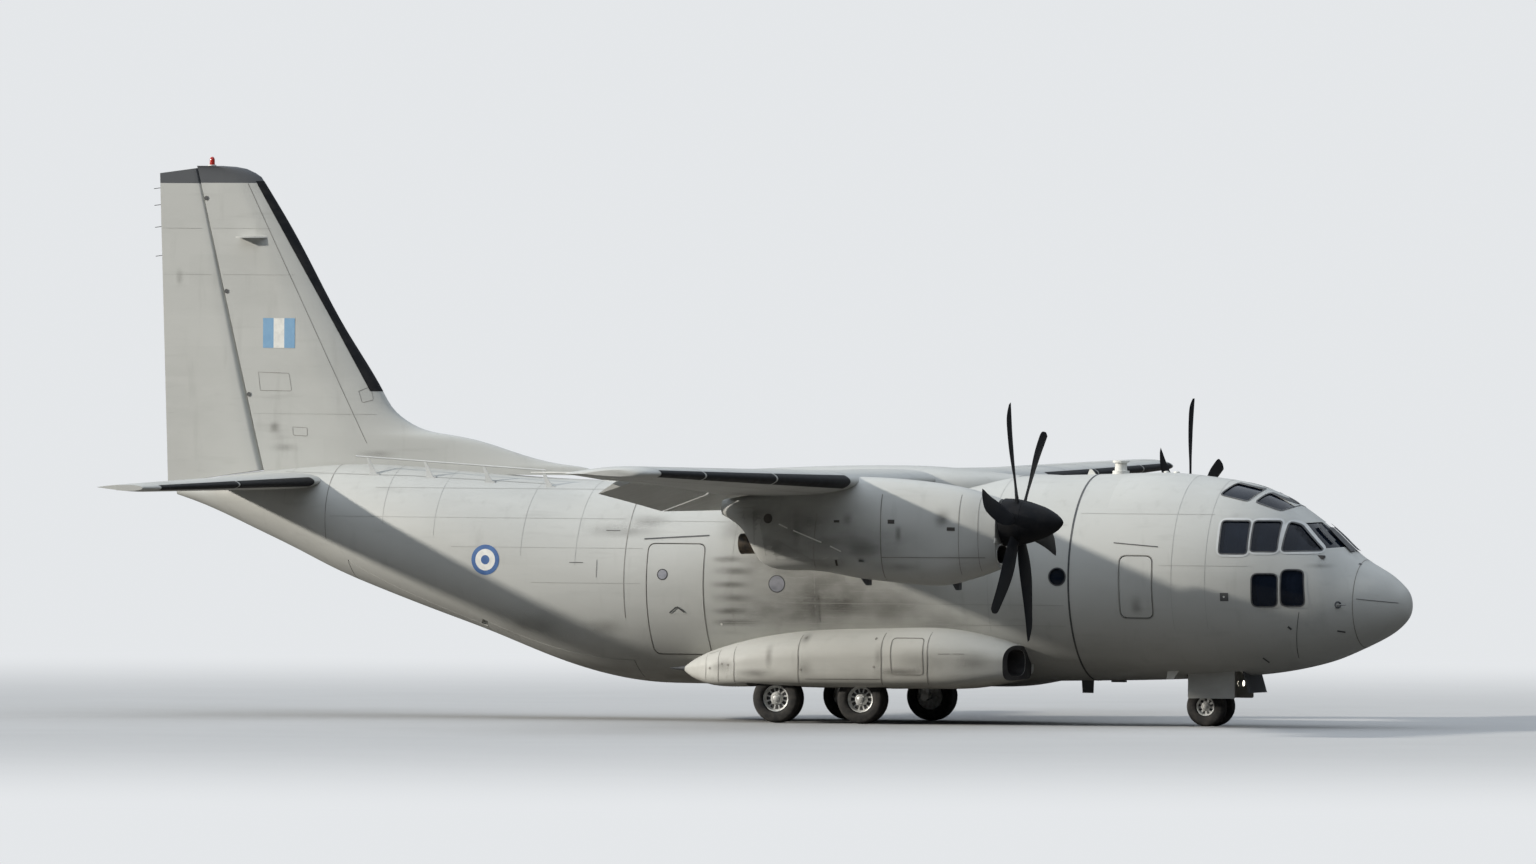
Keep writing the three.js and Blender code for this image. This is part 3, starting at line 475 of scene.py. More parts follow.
def oval(row, angle, side=0.0, above=2.0, grow=0.0):
    """Points of sections across X; row holds x, top, bottom, half width, squareness below."""
    x, top, bottom, half, below = (row[:, i] for i in range(5))
    middle, rise = (top + bottom) / 2, (top - bottom) / 2 + grow
    power = np.where(np.sin(angle) >= 0, above, below)
    return np.stack([x, side + (half + grow) * signed_power(np.cos(angle), 2 / power),
                     middle + rise * signed_power(np.sin(angle), 2 / power)], axis=1)


def hull_point(x, angle):
    angle = np.broadcast_to(angle, np.shape(x)).astype(float)
    return oval(fuselage(x), angle)


hull = Skin(hull_point, -1.0)


def hull_angle(x, z, side):
    """Angle round the fuselage at which its surface has a height, port side 1 or starboard -1."""
    _, top, bottom, _, below = (fuselage(x)[:, i] for i in range(5))
    share = np.clip((np.asarray(z) - (top + bottom) / 2) / ((top - bottom) / 2), -0.9999, 0.9999)
    power = np.where(share >= 0, 2.0, below)
    angle = np.sign(share) * np.arcsin(np.abs(share) ** (power / 2))
    return angle if side > 0 else math.pi - angle


def hull_rows(x0, x1, step, around, grow=0.0):
    """Rings of fuselage outline between two places, spaced along its curve."""
    t0, t1 = np.interp((x0, x1), fuselage.first, fuselage.dense)
    count = max(2, int(round((t1 - t0) / step)) + 1)
    angles = full_turn(around)
    return [oval(np.repeat(fuselage.at(t), around, axis=0), angles, grow=grow) for t in np.linspace(t0, t1,
                                                                                                    count)]


def hull_solid(x0, x1, grow=0.0, step=0.1, around=144):
    return outward(grid(hull_rows(x0, x1, step, around, grow)))


def hull_wall(x0, x1, outer=0.0, wall=0.11, step=0.1, around=144):
    """A length of fuselage wall, open at both ends, as one closed shape."""
    rows = hull_rows(x0, x1, step, around, outer)
    rows += hull_rows(x0, x1, step, around, outer - wall)[::-1]
    rows.append(rows[0])
    points, faces = grid(rows, True, (False, False))
    last = (len(rows) - 1) * around
    return outward((points[:last], [tuple(i % last for i in face) for face in faces]))


# Paints and other materials, one for each of the record's slots
grey = body_paint("grey_paint", (0.41, 0.415, 0.395))
pale = body_paint("pale_paint", (0.45, 0.45, 0.42), 0.8)
dark = body_paint("dark_paint", (0.07, 0.075, 0.082), 0.4)


def plain(name, base, other, size, rough, metal=0.0, bump=0.1, specular=0.4):
    """Two shades mixed by noise, with uneven roughness and a little bump."""
    look = Look(name, metal=metal, specular=specular)
    share = look.step(look.noise(size, 6.0, 0.6), 0.35, 0.7)
    look.bump(look.noise(tuple(s / 6 for s in size), 3.0), bump)
    return look.finish(look.mix(share, base, other), look.step(look.noise(size, 4.0), 0.2, 0.8, rough[0],
                                                               rough[1]))


def glass_look(name, tint, alpha, specular=0.8):
    look = Look(name, rough=0.06, specular=specular)
    look.put(look.shader.inputs["Alpha"], look.step(look.noise((0.9, 0.9, 0.9)), 0.2, 0.8, alpha - 0.05,
                                                    alpha + 0.05))
    film = look.step(look.noise((0.35, 0.35, 0.35), 5.0), 0.45, 0.75, 0.0, 0.5)
    return look.finish(look.mix(film, tint, tuple(c * 1.8 + 0.006 for c in tint)),
                       look.step(look.noise((0.3, 0.3, 0.3)), 0.3, 0.8, 0.04, 0.12))


black = plain("blade_black", (0.004, 0.005, 0.007), (0.012, 0.012, 0.013), (0.25, 0.25, 0.25), (0.5, 0.68),
              specular=0.12)
boot = plain("boot_rubber", (0.006, 0.007, 0.009), (0.018, 0.018, 0.019), (0.4, 0.15, 0.15), (0.5, 0.7),
             specular=0.15)
rubber = plain("tyre_rubber", (0.012, 0.012, 0.012), (0.045, 0.042, 0.038), (0.12, 0.12, 0.12),
               (0.7, 0.95), bump=0.3)
metal = plain("gear_metal", (0.62, 0.62, 0.6), (0.42, 0.41, 0.38), (0.1, 0.1, 0.1), (0.3, 0.55), metal=0.75)
floor_metal = plain("floor_metal", (0.26, 0.26, 0.25), (0.15, 0.15, 0.14), (0.5, 0.2, 0.2), (0.4, 0.7),
                    metal=0.5)
seat = plain("seat_cover", (0.03, 0.04, 0.03), (0.018, 0.022, 0.018), (0.05, 0.05, 0.05), (0.8, 0.95),
             bump=0.4)
plastic = plain("panel_plastic", (0.02, 0.02, 0.022), (0.035, 0.035, 0.036), (0.2, 0.2, 0.2), (0.5, 0.7))
glass = glass_look("cockpit_glass", (0.004, 0.007, 0.014), 0.88, 0.22)
line_ink = plain("panel_seam", (0.17, 0.165, 0.15), (0.26, 0.25, 0.23), (0.8, 0.3, 0.3), (0.6, 0.8))
# Black paint, also used as painted shade inside intakes, the exhaust and wheel holes.
black_paint_and_shade = plain("black_marking_and_shade", (0.02, 0.02, 0.022), (0.05, 0.048, 0.045), (0.5, 0.2, 0.2), (0.5, 0.7))
blue_ink = plain("blue_marking", (0.034, 0.092, 0.245), (0.05, 0.125, 0.29), (0.1, 0.1, 0.1), (0.5, 0.65))
sky_ink = plain("sky_blue_marking", (0.155, 0.295, 0.45), (0.175, 0.32, 0.47), (0.1, 0.1, 0.1), (0.5, 0.65))
faint_ink = plain("faint_seam", (0.3, 0.3, 0.285), (0.35, 0.355, 0.335), (0.8, 0.3, 0.3), (0.6, 0.8))
white_ink = plain("white_marking", (0.66, 0.66, 0.62), (0.56, 0.56, 0.53), (0.1, 0.1, 0.1), (0.5, 0.65))
# Dark marks on the nacelles: real grime, and the painted shade of a hole.
soot_and_shade_ink = plain("soot_and_shade", (0.04, 0.036, 0.032), (0.075, 0.068, 0.06), (0.3, 0.1, 0.1), (0.7, 0.9))
red_glass = plain("red_lamp", (0.42, 0.03, 0.02), (0.3, 0.02, 0.015), (0.05, 0.05, 0.05), (0.1, 0.25))
lining = plain("lining", (0.075, 0.08, 0.078), (0.045, 0.048, 0.048), (0.4, 0.4, 0.4), (0.7, 0.9))
hub_paint = plain("hub_paint", (0.6, 0.61, 0.6), (0.4, 0.4, 0.38), (0.06, 0.06, 0.06), (0.35, 0.55),
                  metal=0.25)
seal_ink = plain("dark_seam", (0.045, 0.047, 0.05), (0.09, 0.09, 0.088), (0.4, 0.2, 0.2), (0.5, 0.7))
frame_paint = plain("frame_paint", (0.5, 0.51, 0.5), (0.43, 0.44, 0.43), (0.3, 0.3, 0.3), (0.45, 0.6))
green_glass = plain("green_lamp", (0.02, 0.22, 0.1), (0.02, 0.15, 0.07), (0.05, 0.05, 0.05), (0.1, 0.25))
burnt = plain("burnt_metal", (0.045, 0.04, 0.036), (0.11, 0.085, 0.06), (0.1, 0.1, 0.1), (0.35, 0.6),
              metal=0.6)
pipe_inside = plain("pipe_inside", (0.62, 0.5, 0.33), (0.38, 0.3, 0.2), (0.08, 0.08, 0.08), (0.35, 0.6),
                    metal=0.4)
pale_pane = plain("pale_pane", (0.27, 0.275, 0.3), (0.17, 0.175, 0.2), (0.25, 0.25, 0.18), (0.25, 0.4))
bright = plain("bright_metal", (0.78, 0.74, 0.64), (0.55, 0.5, 0.42), (0.12, 0.12, 0.12), (0.25, 0.45),
               metal=0.85)
lit = plain("lit_lamp", (0.9, 0.88, 0.8), (0.8, 0.78, 0.7), (0.05, 0.05, 0.05), (0.1, 0.2))
lit.node_tree.nodes["Principled BSDF"].inputs["Emission Color"].default_value = (1.0, 0.93, 0.78, 1.0)
lit.node_tree.nodes["Principled BSDF"].inputs["Emission Strength"].default_value = 4.0


# Fuselage: fine walls cut like the frame's, with windows
SEAM, GAP, WALL, DOOR_CORNER = 0.012, 0.0005, 0.11, 0.12
COCKPIT_FLOOR = 1.99
SIDE_WINDOWS = [
    [(8.42, 2.96), (8.87, 2.96), (8.85, 3.51), (8.4, 3.51)],
    [(8.93, 3.0), (9.34, 3.0), (9.32, 3.51), (8.91, 3.51)],
    [(9.42, 3.01), (10.03, 3.02), (9.6, 3.45), (9.43, 3.5)],
    [(8.98, 2.07), (9.39, 2.07), (9.39, 2.62), (8.98, 2.62)],
    [(9.45, 2.08), (9.83, 2.08), (9.79, 2.69), (9.45, 2.69)]]
CORNERS = (0.05, 0.05, 0.05, 0.1, 0.1)
EYEBROWS = [
    [(8.35, 4.15), (8.82, 4.04), (8.7, 3.85), (8.22, 3.96)],
    [(8.92, 3.99), (9.4, 3.78), (9.25, 3.69), (8.82, 3.84)]]
WINDSHIELD = [(0.06, 3.09), (0.86, 3.05), (0.78, 3.48), (0.06, 3.5)]
PORTHOLES = [(0.57, 2.37, 0.14), (5.6, 2.54, 0.15)]
PARA_WINDOW = (-1.5, 2.51, 0.085)
CREW_DOOR = (6.75, 1.33, 7.5, 2.95)
HATCH = (6.71, 1.86, 7.27, 2.9)
PARA_DOOR = (-1.78, 1.15, -0.77, 3.03)
GEAR_BAY = (7.5, 8.47, 0.5)


def door_outline(door, grow=0.0, radius=0.0):
    x0, z0, x1, z1 = door
    corners = [(x0 - grow, z0 - grow), (x1 + grow, z0 - grow), (x1 + grow, z1 + grow),
               (x0 - grow, z1 + grow)]
    return rounded(corners, radius) if radius else corners


def window_cuts(grow=0.0):
    """Prisms through every cockpit window on both sides."""
    cuts = []
    for corners, radius in zip(SIDE_WINDOWS, CORNERS):
        shape = prism(widened(rounded(corners, radius), grow), 0.7, 2.0, "y")
        cuts += [shape, mirror(shape)]
    for corners in EYEBROWS:
        shape = prism(widened(rounded(corners, 0.04), grow), 0.25, 1.7, "y")
        cuts += [shape, mirror(shape)]
    shape = prism(widened(rounded(WINDSHIELD, 0.04), grow), 9.3, 10.7, "x")
    return cuts, [shape, mirror(shape)]


def widened(outline, grow):
    """An outline moved out by some distance."""
    if not grow:
        return outline
    p = np.asarray(outline, float)
    area = 0.5 * np.sum(p[:, 0] * np.roll(p[:, 1], -1) - np.roll(p[:, 0], -1) * p[:, 1])
    along = np.roll(p, -1, axis=0) - np.roll(p, 1, axis=0)
    normal = np.stack([along[:, 1], -along[:, 0]], axis=1) * np.sign(area)
    normal /= np.maximum(np.linalg.norm(normal, axis=1), 1e-9)[:, None]
    return [tuple(q) for q in p + normal * grow]


def fuselage_front():
    item = Bag().add(hull_wall(FRAME_JOINT + GAP, RADOME_JOINT - GAP)).make("front_wall", [grey, lining])
    cuts, shields = window_cuts()
    carve(item, cuts)
    carve(item, shields)
    carve(item, [prism(door_outline(CREW_DOOR, SEAM, DOOR_CORNER), 0.9, 2.0, "y")])
    carve(item, [prism(door_outline(HATCH, SEAM, DOOR_CORNER), -2.0, -0.9, "y")])
    holes = []
    for x, z, radius in PORTHOLES[1:]:
        hole = prism(circle((x, z), radius), 1.2, 2.0, "y")
        holes += [hole, mirror(hole)]
    carve(item, holes)
    x0, x1, half = GEAR_BAY
    carve(item, [block((x0, -half, 0.5), (x1, half, 1.3))])
    piece(item, "airframe", ["fuselage_front"])
    nose = Bag().add(hull_solid(RADOME_JOINT, 11.36, 0.0, 0.025)).make("radome_skin", [grey])
    piece(nose, "airframe", ["radome"])
    for name, door, sign in (("crew_door_skin", CREW_DOOR, 1), ("hatch_skin", HATCH, -1)):
        door_item = Bag().add(hull_wall(door[0] - 0.3, door[2] + 0.3)).make(name, [grey, lining])
        shape = prism(door_outline(door, 0.0, DOOR_CORNER), *sorted((0.9 * sign, 2.0 * sign)), "y")
        carve(door_item, [shape], "INTERSECT")
        if sign > 0:
            piece(door_item, "crew_door", ["crew_door"])
        else:
            piece(door_item, "airframe", ["emergency_hatch"])


def fuselage_centre():
    item = Bag().add(hull_wall(REAR_JOINT + GAP, FRAME_JOINT - GAP)).make("centre_wall", [grey, lining])
    hole = prism(door_outline(PARA_DOOR, SEAM, DOOR_CORNER), 1.0, 2.0, "y")
    carve(item, [hole, mirror(hole)])
    holes = []
    for x, z, radius in PORTHOLES:
        hole = prism(circle((x, z), radius), 1.2, 2.0, "y")
        holes += [hole, mirror(hole)]
    carve(item, holes)
    piece(item, "airframe", ["fuselage_centre"])
    for side, sign in HANDS:
        door = Bag().add(hull_wall(-2.1, -0.5)).make(f"para_door_skin_{side}", [grey, lining])
        carve(door, [prism(door_outline(PARA_DOOR, 0.0, DOOR_CORNER), *sorted((1.0 * sign, 2.0 * sign)),
                           "y")], "INTERSECT")
        x, z, radius = PARA_WINDOW
        carve(door, [prism(circle((x, z), radius), *sorted((1.0 * sign, 2.0 * sign)), "y")])
        piece(door, "airframe", [f"para_door_{side}"])


RAMP_HALF, UPPER_HALF = 1.15, 0.95
RAMP_END, LEAN, JOINT_RISE, UPPER_REAR = (-5.15, 1.3), 0.75, 0.9, (-7.5, 3.0)
FLOOR_TOP = 1.28


def ramp_outline(by):
    foot, up = RAMP_END
    return [(REAR_JOINT - SEAM + by, 0.3), (REAR_JOINT - SEAM + by, FLOOR_TOP),
            (foot + 0.4 * LEAN - by, up + 0.4),
            (foot - by, up), (foot - by, 0.3)]


def upper_outline(by):
    foot, up = RAMP_END
    return [(foot - SEAM + by, up - 0.3), (foot - SEAM + by, up), (foot - SEAM + by + JOINT_RISE * LEAN,
                                                                   up + JOINT_RISE + by),
            (UPPER_REAR[0] - by, UPPER_REAR[1] + by), (UPPER_REAR[0] - by, 1.0)]


def fuselage_rear():
    foot, up = RAMP_END
    item = Bag().add(hull_wall(TAIL_JOINT + GAP, REAR_JOINT - GAP)).make("rear_wall", [grey, lining])
    carve(item, [prism([(REAR_JOINT + 0.06, 0.3), (REAR_JOINT + 0.06, FLOOR_TOP + 0.2),
                        (foot + JOINT_RISE * LEAN, up + JOINT_RISE),
                        (foot - 0.04, up + 0.2), (foot - 0.04, 0.3)], -RAMP_HALF - SEAM, RAMP_HALF + SEAM,
                        "y")])
    carve(item, [prism(upper_outline(SEAM), -UPPER_HALF - SEAM, UPPER_HALF + SEAM, "y")])
    piece(item, "airframe", ["fuselage_rear"])
    ramp = Bag().add(hull_solid(-5.6, -1.9)).make("ramp_skin", [grey])
    carve(ramp, [prism(ramp_outline(0.0), -RAMP_HALF, RAMP_HALF, "y")], "INTERSECT")
    piece(ramp, "cargo_ramp", ["cargo_ramp"])
    door = Bag().add(hull_wall(-7.7, -4.2)).make("upper_door_skin", [grey, lining])
    carve(door, [prism(upper_outline(0.0), -UPPER_HALF, UPPER_HALF, "y")], "INTERSECT")
    piece(door, "cargo_door_upper", ["cargo_door_upper"])
    cone = Bag().add(hull_solid(-11.0, TAIL_JOINT)).make("tail_cone_skin", [grey])
    piece(cone, "airframe", ["tail_cone"])


# Wing: y, leading edge, chord, height at quarter chord, nose-up degrees
WING = np.array([(0.0, 3.13, 3.4, 4.105, 3.5), (5.27, 3.13, 3.4, 4.105, 3.5),
                 (13.9, 2.64, 1.69, 4.325, 0.5)])
WING_THICK, WING_CAMBER, HINGE, COVE = 0.125, 0.012, 0.76, 0.715
CENTRE_HALF, HALF_SPAN = 5.27, 14.35
WING_TIP = [(14.0, 0.985), (14.12, 0.93), (14.2, 0.87), (14.28, 0.78), (14.33, 0.65), (HALF_SPAN, 0.5)]


def half_thickness(u, thick):
    u = np.clip(u, 0.0, 1.0)
    shape = 0.2969 * np.sqrt(u) - 0.126 * u - 0.3516 * u ** 2 + 0.2843 * u ** 3 - 0.1016 * u ** 4
    return np.maximum(5 * thick * shape, 0.0012)


def camber_line(u, camber):
    return 4 * camber * u * (1 - u)


def placed(table, y, u, v):
    """Points of a wing section: share of the chord u, height v in chords, at stations y."""
    y, u, v = np.broadcast_arrays(np.asarray(y, float), np.asarray(u, float), np.asarray(v, float))
    lead, chord, height, angle = (np.interp(np.abs(y), table[:, 0], table[:, i]) for i in range(1, 5))
    angle = np.radians(angle)
    ahead, above = (0.25 - u) * chord, v * chord
    return np.stack([lead - 0.25 * chord + ahead * np.cos(angle) - above * np.sin(angle), y,
                     height + ahead * np.sin(angle) + above * np.cos(angle)], axis=-1)


def section(thick, camber, u0=0.0, steps=34, grow=0.0):
    """Outline of a wing section from share u0 of the chord back, as pairs of chord share and height."""
    if u0 == 0.0:
        u = 0.5 - 0.5 * np.cos(np.pi * np.linspace(0, 1, steps + 1))
        half = half_thickness(u, thick)
        half[0] = 0.0
        upper = [(a, camber_line(a, camber) + h + grow) for a, h in zip(u, half)]
        lower = [(a, camber_line(a, camber) - h - grow) for a, h in zip(u, half)]
        return upper[::-1] + lower[1:]
    u = np.linspace(u0, 1.0, steps // 2)
    half = half_thickness(u, thick)
    upper = [(a, camber_line(a, camber) + h) for a, h in zip(u, half)]
    lower = [(a, camber_line(a, camber) - h) for a, h in zip(u, half)]
    radius = float(half_thickness(u0, thick))
    middle = float(camber_line(u0, camber))
    turns = np.radians(np.linspace(0, 180, 13)[1:-1])
    nose = [(u0 - radius * math.sin(a), middle + radius * math.cos(a)) for a in turns]
    return upper[::-1] + nose + lower


def wing_rows(ys, outline):
    u, v = np.array(outline).T
    return [placed(WING, y, u, v) for y in ys]


def spread(a, b, step):
    return np.linspace(a, b, max(2, int(round(abs(b - a) / step)) + 1))


def behind(y0, y1):
    """The room behind the wing where flaps and ailerons are."""
    corners = [(COVE, 0.2), (1.2, 0.2), (1.2, -0.2), (COVE, -0.2)]
    return outward(grid(wing_rows((y0, y1), corners)))


def wing_skin_point(y, q):
    """Place on the wing: q squared is the share of the chord, above the wing where q is positive."""
    u = np.asarray(q) ** 2
    return placed(WING, y, u, camber_line(u, WING_CAMBER) + np.sign(q) * half_thickness(u,
                                                                                        WING_THICK) * (u > 0))


wing_skin = Skin(wing_skin_point, 1.0)
FLAPS = {"flap_inner": (1.9, 5.2, 0.35, 22.0), "flap_outer": (5.32, 10.6, 0.35, 22.0),
         "aileron": (10.69, 13.7, 0.0, 0.0)}


def hinge_line(y0, y1, drop):
    ends = [placed(WING, y, HINGE, camber_line(HINGE, WING_CAMBER)) for y in (y0, y1)]
    return [Vector(p) - Vector((0, 0, drop)) for p in ends]


def turn_shape(shape, line, degrees):
    points, faces = shape
    spin = Matrix.Rotation(math.radians(degrees), 3, (line[1] - line[0]).normalized())
    return [tuple(spin @ (Vector(p) - line[0]) + line[0]) for p in points], faces


def wings():
    outline = section(WING_THICK, WING_CAMBER)
    centre = outward(grid(wing_rows(spread(-CENTRE_HALF, CENTRE_HALF, 0.5), outline)))
    item = Bag().add(centre).make("wing_centre_skin", [grey])
    cove = behind(FLAPS["flap_inner"][0] - 0.025, CENTRE_HALF + 0.05)
    carve(item, [cove, mirror(cove)])
    piece(item, "airframe", ["wing_centre"])
    tip = np.array(outline)
    rows = wing_rows(spread(CENTRE_HALF + GAP, 13.9, 0.3), outline)
    for y, size in WING_TIP:
        row = placed(WING, 13.9, 0.42 + (tip[:, 0] - 0.42) * size, tip[:, 1] * size)
        row[:, 1] = y
        rows.append(row)
    for side, sign in HANDS:
        put = (lambda shape: shape) if sign > 0 else mirror
        outer = Bag().add(put(outward(grid(rows)))).make(f"wing_outer_skin_{side}", [grey])
        carve(outer, [put(behind(CENTRE_HALF - 0.05, FLAPS["aileron"][1] + 0.025))])
        piece(outer, "airframe", [f"wing_outer_{side}"])
        for name, (y0, y1, drop, rest) in FLAPS.items():
            shape = outward(grid(wing_rows(spread(y0, y1, 0.5), section(WING_THICK, WING_CAMBER, HINGE))))
            shape = turn_shape(shape, hinge_line(y0, y1, drop), -rest)
            flap = Bag().add(put(shape)).make(f"{name}_skin_{side}", [grey])
            piece(flap, f"{name}_{side}", [f"{name}_{side}"])


# Fairing over the wing on the roof: x, top, half width
FAIRING = Curve([(-3.15, 4.15, 0.3, 0), (-2.0, 4.23, 0.7, 0), (-0.6, 4.31, 1.0, 0), (0.8, 4.375, 1.06, 0),
                 (2.0, 4.4, 1.06, 0), (3.0, 4.375, 1.0, 0), (3.7, 4.315, 0.8, 0), (4.4, 4.24, 0.4, 0)])


def wing_fairing():
    angles = full_turn(64)
    rows = []
    for x in np.linspace(-3.15, 4.4, 70):
        _, top, half, _ = FAIRING(x)[0]
        row = np.array([(x, top, 3.5, half, 3.0)])
        rows.append(oval(np.repeat(row, 64, axis=0), angles, above=3.0))
    piece(Bag().add(outward(grid(rows))).make("wing_fairing_skin", [grey]), "airframe", ["wing_fairing"])


# Fin: height, leading edge, half thickness, and the rudder behind it
FIN = Curve([
    (3.9, -3.3, 0.18, 0), (4.18, -3.3, 0.19, 0), (4.35, -3.8, 0.2, 0), (4.59, -4.88, 0.205, 0),
    (4.76, -5.46, 0.21, 0), (4.86, -6.01, 0.212, 0), (4.95, -6.48, 0.212, 0), (5.11, -6.81, 0.212, 0),
    (5.3, -7.04, 0.212, 0), (5.61, -7.24, 0.21, 0), (6.66, -7.92, 0.185, 0), (8.27, -8.84, 0.14, 0),
    (9.29, -9.49, 0.11, 0)])
RUDDER_FOOT, RUDDER_RAKE = (-9.39, 4.22), 0.2428
CAP_FROM, FIN_TOP, RUDDER_GAP = 9.22, 9.29, 0.014


def rudder_front(z):
    return RUDDER_FOOT[0] - (z - RUDDER_FOOT[1]) * RUDDER_RAKE


def rudder_end(z):
    return -11.18 - (z - 4.07) * 0.034


def fin_half(x, z, lead):
    full = FIN(np.minimum(z, FIN_TOP))[:, 2]
    front, end = rudder_front(z), rudder_end(z)
    crest = front + np.minimum(1.6, (lead - front) * 0.6)
    t = (lead - x) / (lead - crest)
    nose = full * np.sqrt(np.clip(1 - (1 - t) ** 2, 0, 1))
    return np.where(x > crest, nose, 0.008 + (full - 0.008) * (x - end) / (crest - end))


def fin_point(z, q):
    """Place on the fin: q squared is the share from leading edge to rudder, to port where q is positive."""
    z, q = np.broadcast_arrays(np.asarray(z, float), np.asarray(q, float))
    lead = FIN(np.minimum(z, FIN_TOP))[:, 1]
    x = lead + (rudder_front(z) + RUDDER_GAP - lead) * q ** 2
    return np.stack([x, np.sign(q) * fin_half(x, z, lead), z], axis=1)


fin_skin = Skin(fin_point, -1.0)


def fin_and_rudder():
    q = np.concatenate([np.linspace(-1, 0, 26), np.linspace(0, 1, 26)[1:]])
    t = np.linspace(np.interp(4.18, FIN.first, FIN.dense), FIN.t[-1], 70)
    rows = [fin_point(np.full(len(q), z), q) for z in np.interp(t, FIN.dense, FIN.first)]
    for z, lead in ((9.36, -9.6), (9.43, -9.76), (9.465, -9.95), (9.48, -10.2)):
        x = lead + (rudder_front(z) + RUDDER_GAP - lead) * q ** 2
        rows.append(np.stack([x, np.sign(q) * fin_half(x, z, np.full(len(q), lead)), np.full(len(q), z)],
                             axis=1))
    points, faces = outward(grid(rows))
    heights = [max(points[i][2] for i in face) for face in faces]
    bag = Bag().add((points, faces))
    bag.slots = [1 if h > CAP_FROM + 0.03 else 0 for h in heights]
    piece(bag.make("fin_skin", [grey, dark]), "airframe", ["fin"])

    turns = np.radians(np.linspace(90, -90, 17))
    rows = []
    for z in spread(3.9, 9.48, 0.15):
        front = rudder_front(z)
        radius = float(fin_half(np.array([front]), np.array([z]), np.array([front + 2.0]))[0]) * 0.98
        pivot, end = front - radius, rudder_end(z)
        row = [(end, 0.008, z)]
        row += [(end + (pivot - end) * s, 0.008 + (radius - 0.008) * s, z) for s in np.linspace(0, 1,
                                                                                                8)[1:-1]]
        row += [(pivot + radius * math.cos(a), radius * math.sin(a), z) for a in turns]
        row += [(end + (pivot - end) * s, -0.008 - (radius - 0.008) * s, z) for s in np.linspace(1, 0,
                                                                                                 8)[1:-1]]
        rows.append(row + [(end, -0.008, z)])
    points, faces = outward(grid(rows))
    bag = Bag().add((points, faces))
    bag.slots = [1 if max(points[i][2] for i in face) > CAP_FROM + 0.03 else 0 for face in faces]
    item = bag.make("rudder_skin", [grey, dark])
    carve(item, [prism([(-9.0, 4.285), (-11.5, 3.934), (-11.5, 3.0), (-9.0, 3.0)], -0.8, 0.8, "y"),
                 prism([(-10.4, 9.475), (-11.6, 9.32), (-11.6, 9.8), (-10.4, 9.8)], -0.8, 0.8, "y")])
    piece(item, "rudder", ["rudder"])


# Tailplane: y, leading edge, chord, height, angle
TAIL = np.array([(0.0, -7.96, 2.39, 4.05, 0.0), (6.0, -9.09, 1.18, 3.95, 0.0),
                 (6.2, -9.35, 0.85, 3.945, 0.0)])
TAIL_THICK, TAIL_HINGE, ELEVATOR = 0.12, 0.66, (0.7, 5.95)


def tail_skin_point(y, q):
    u = np.asarray(q) ** 2
    return placed(TAIL, y, u, np.sign(q) * half_thickness(u, TAIL_THICK) * (u > 0))


tail_skin = Skin(tail_skin_point, 1.0)


def tailplane():
    u, v = np.array(section(TAIL_THICK, 0.0)).T
    ys = np.concatenate([spread(0.0, 6.0, 0.4), [6.1, 6.17, 6.2]])
    rows = [placed(TAIL, y, u, v) for y in ys]
    other = [row * (1, -1, 1) for row in rows[:0:-1]]
    item = Bag().add(outward(grid(other + rows))).make("tailplane_skin", [grey])
    corners = [(TAIL_HINGE - 0.045, 0.2), (1.3, 0.2), (1.3, -0.2), (TAIL_HINGE - 0.045, -0.2)]
    a, b = np.array(corners).T
    beyond = np.array([(6.3, -9.1465, 1.1195, 3.945, 0.0)])
    cove = outward(grid([placed(TAIL, ELEVATOR[0] - 0.025, a, b), placed(beyond, 6.3, a, b)]))
    carve(item, [cove, mirror(cove)])
    piece(item, "airframe", ["tailplane"])
    a, b = np.array(section(TAIL_THICK, 0.0, TAIL_HINGE)).T
    shape = outward(grid([placed(TAIL, y, a, b) for y in spread(*ELEVATOR, 0.5)]))
    for side, put in PUTS:
        flap = Bag().add(put(shape)).make(f"elevator_skin_{side}", [grey])
        piece(flap, f"elevator_{side}", [f"elevator_{side}"])


# Nacelle: x, top, bottom, half width
NACELLE = Curve([
    (0.64, 3.83, 3.56, 0.2), (1.04, 3.9, 3.27, 0.33), (1.33, 3.96, 2.79, 0.44), (2.25, 4.18, 2.64, 0.54),
    (3.01, 4.235, 2.53, 0.57), (3.89, 4.2, 2.44, 0.575), (4.55, 4.13, 2.41, 0.56), (5.12, 4.02, 2.54, 0.51),
    (5.42, 3.93, 2.64, 0.45), (5.59, 3.88, 2.71, 0.415)])
ENGINE_Y, ENGINE_Z, PROPELLER_X = 4.75, 3.49, 5.89


def nacelle_point(x, angle):
    x, angle = np.broadcast_arrays(np.asarray(x, float), np.asarray(angle, float))
    row = NACELLE(x)
    return oval(np.column_stack([row, np.full(len(row), 2.6)]), angle, ENGINE_Y, above=2.4)


def oval_ring(x, side, half, bottom, top, power, count=40):
    angles = full_turn(count)
    row = np.array([(x, top, bottom, half, power)])
    return oval(np.repeat(row, count, axis=0), angles, side, above=power)


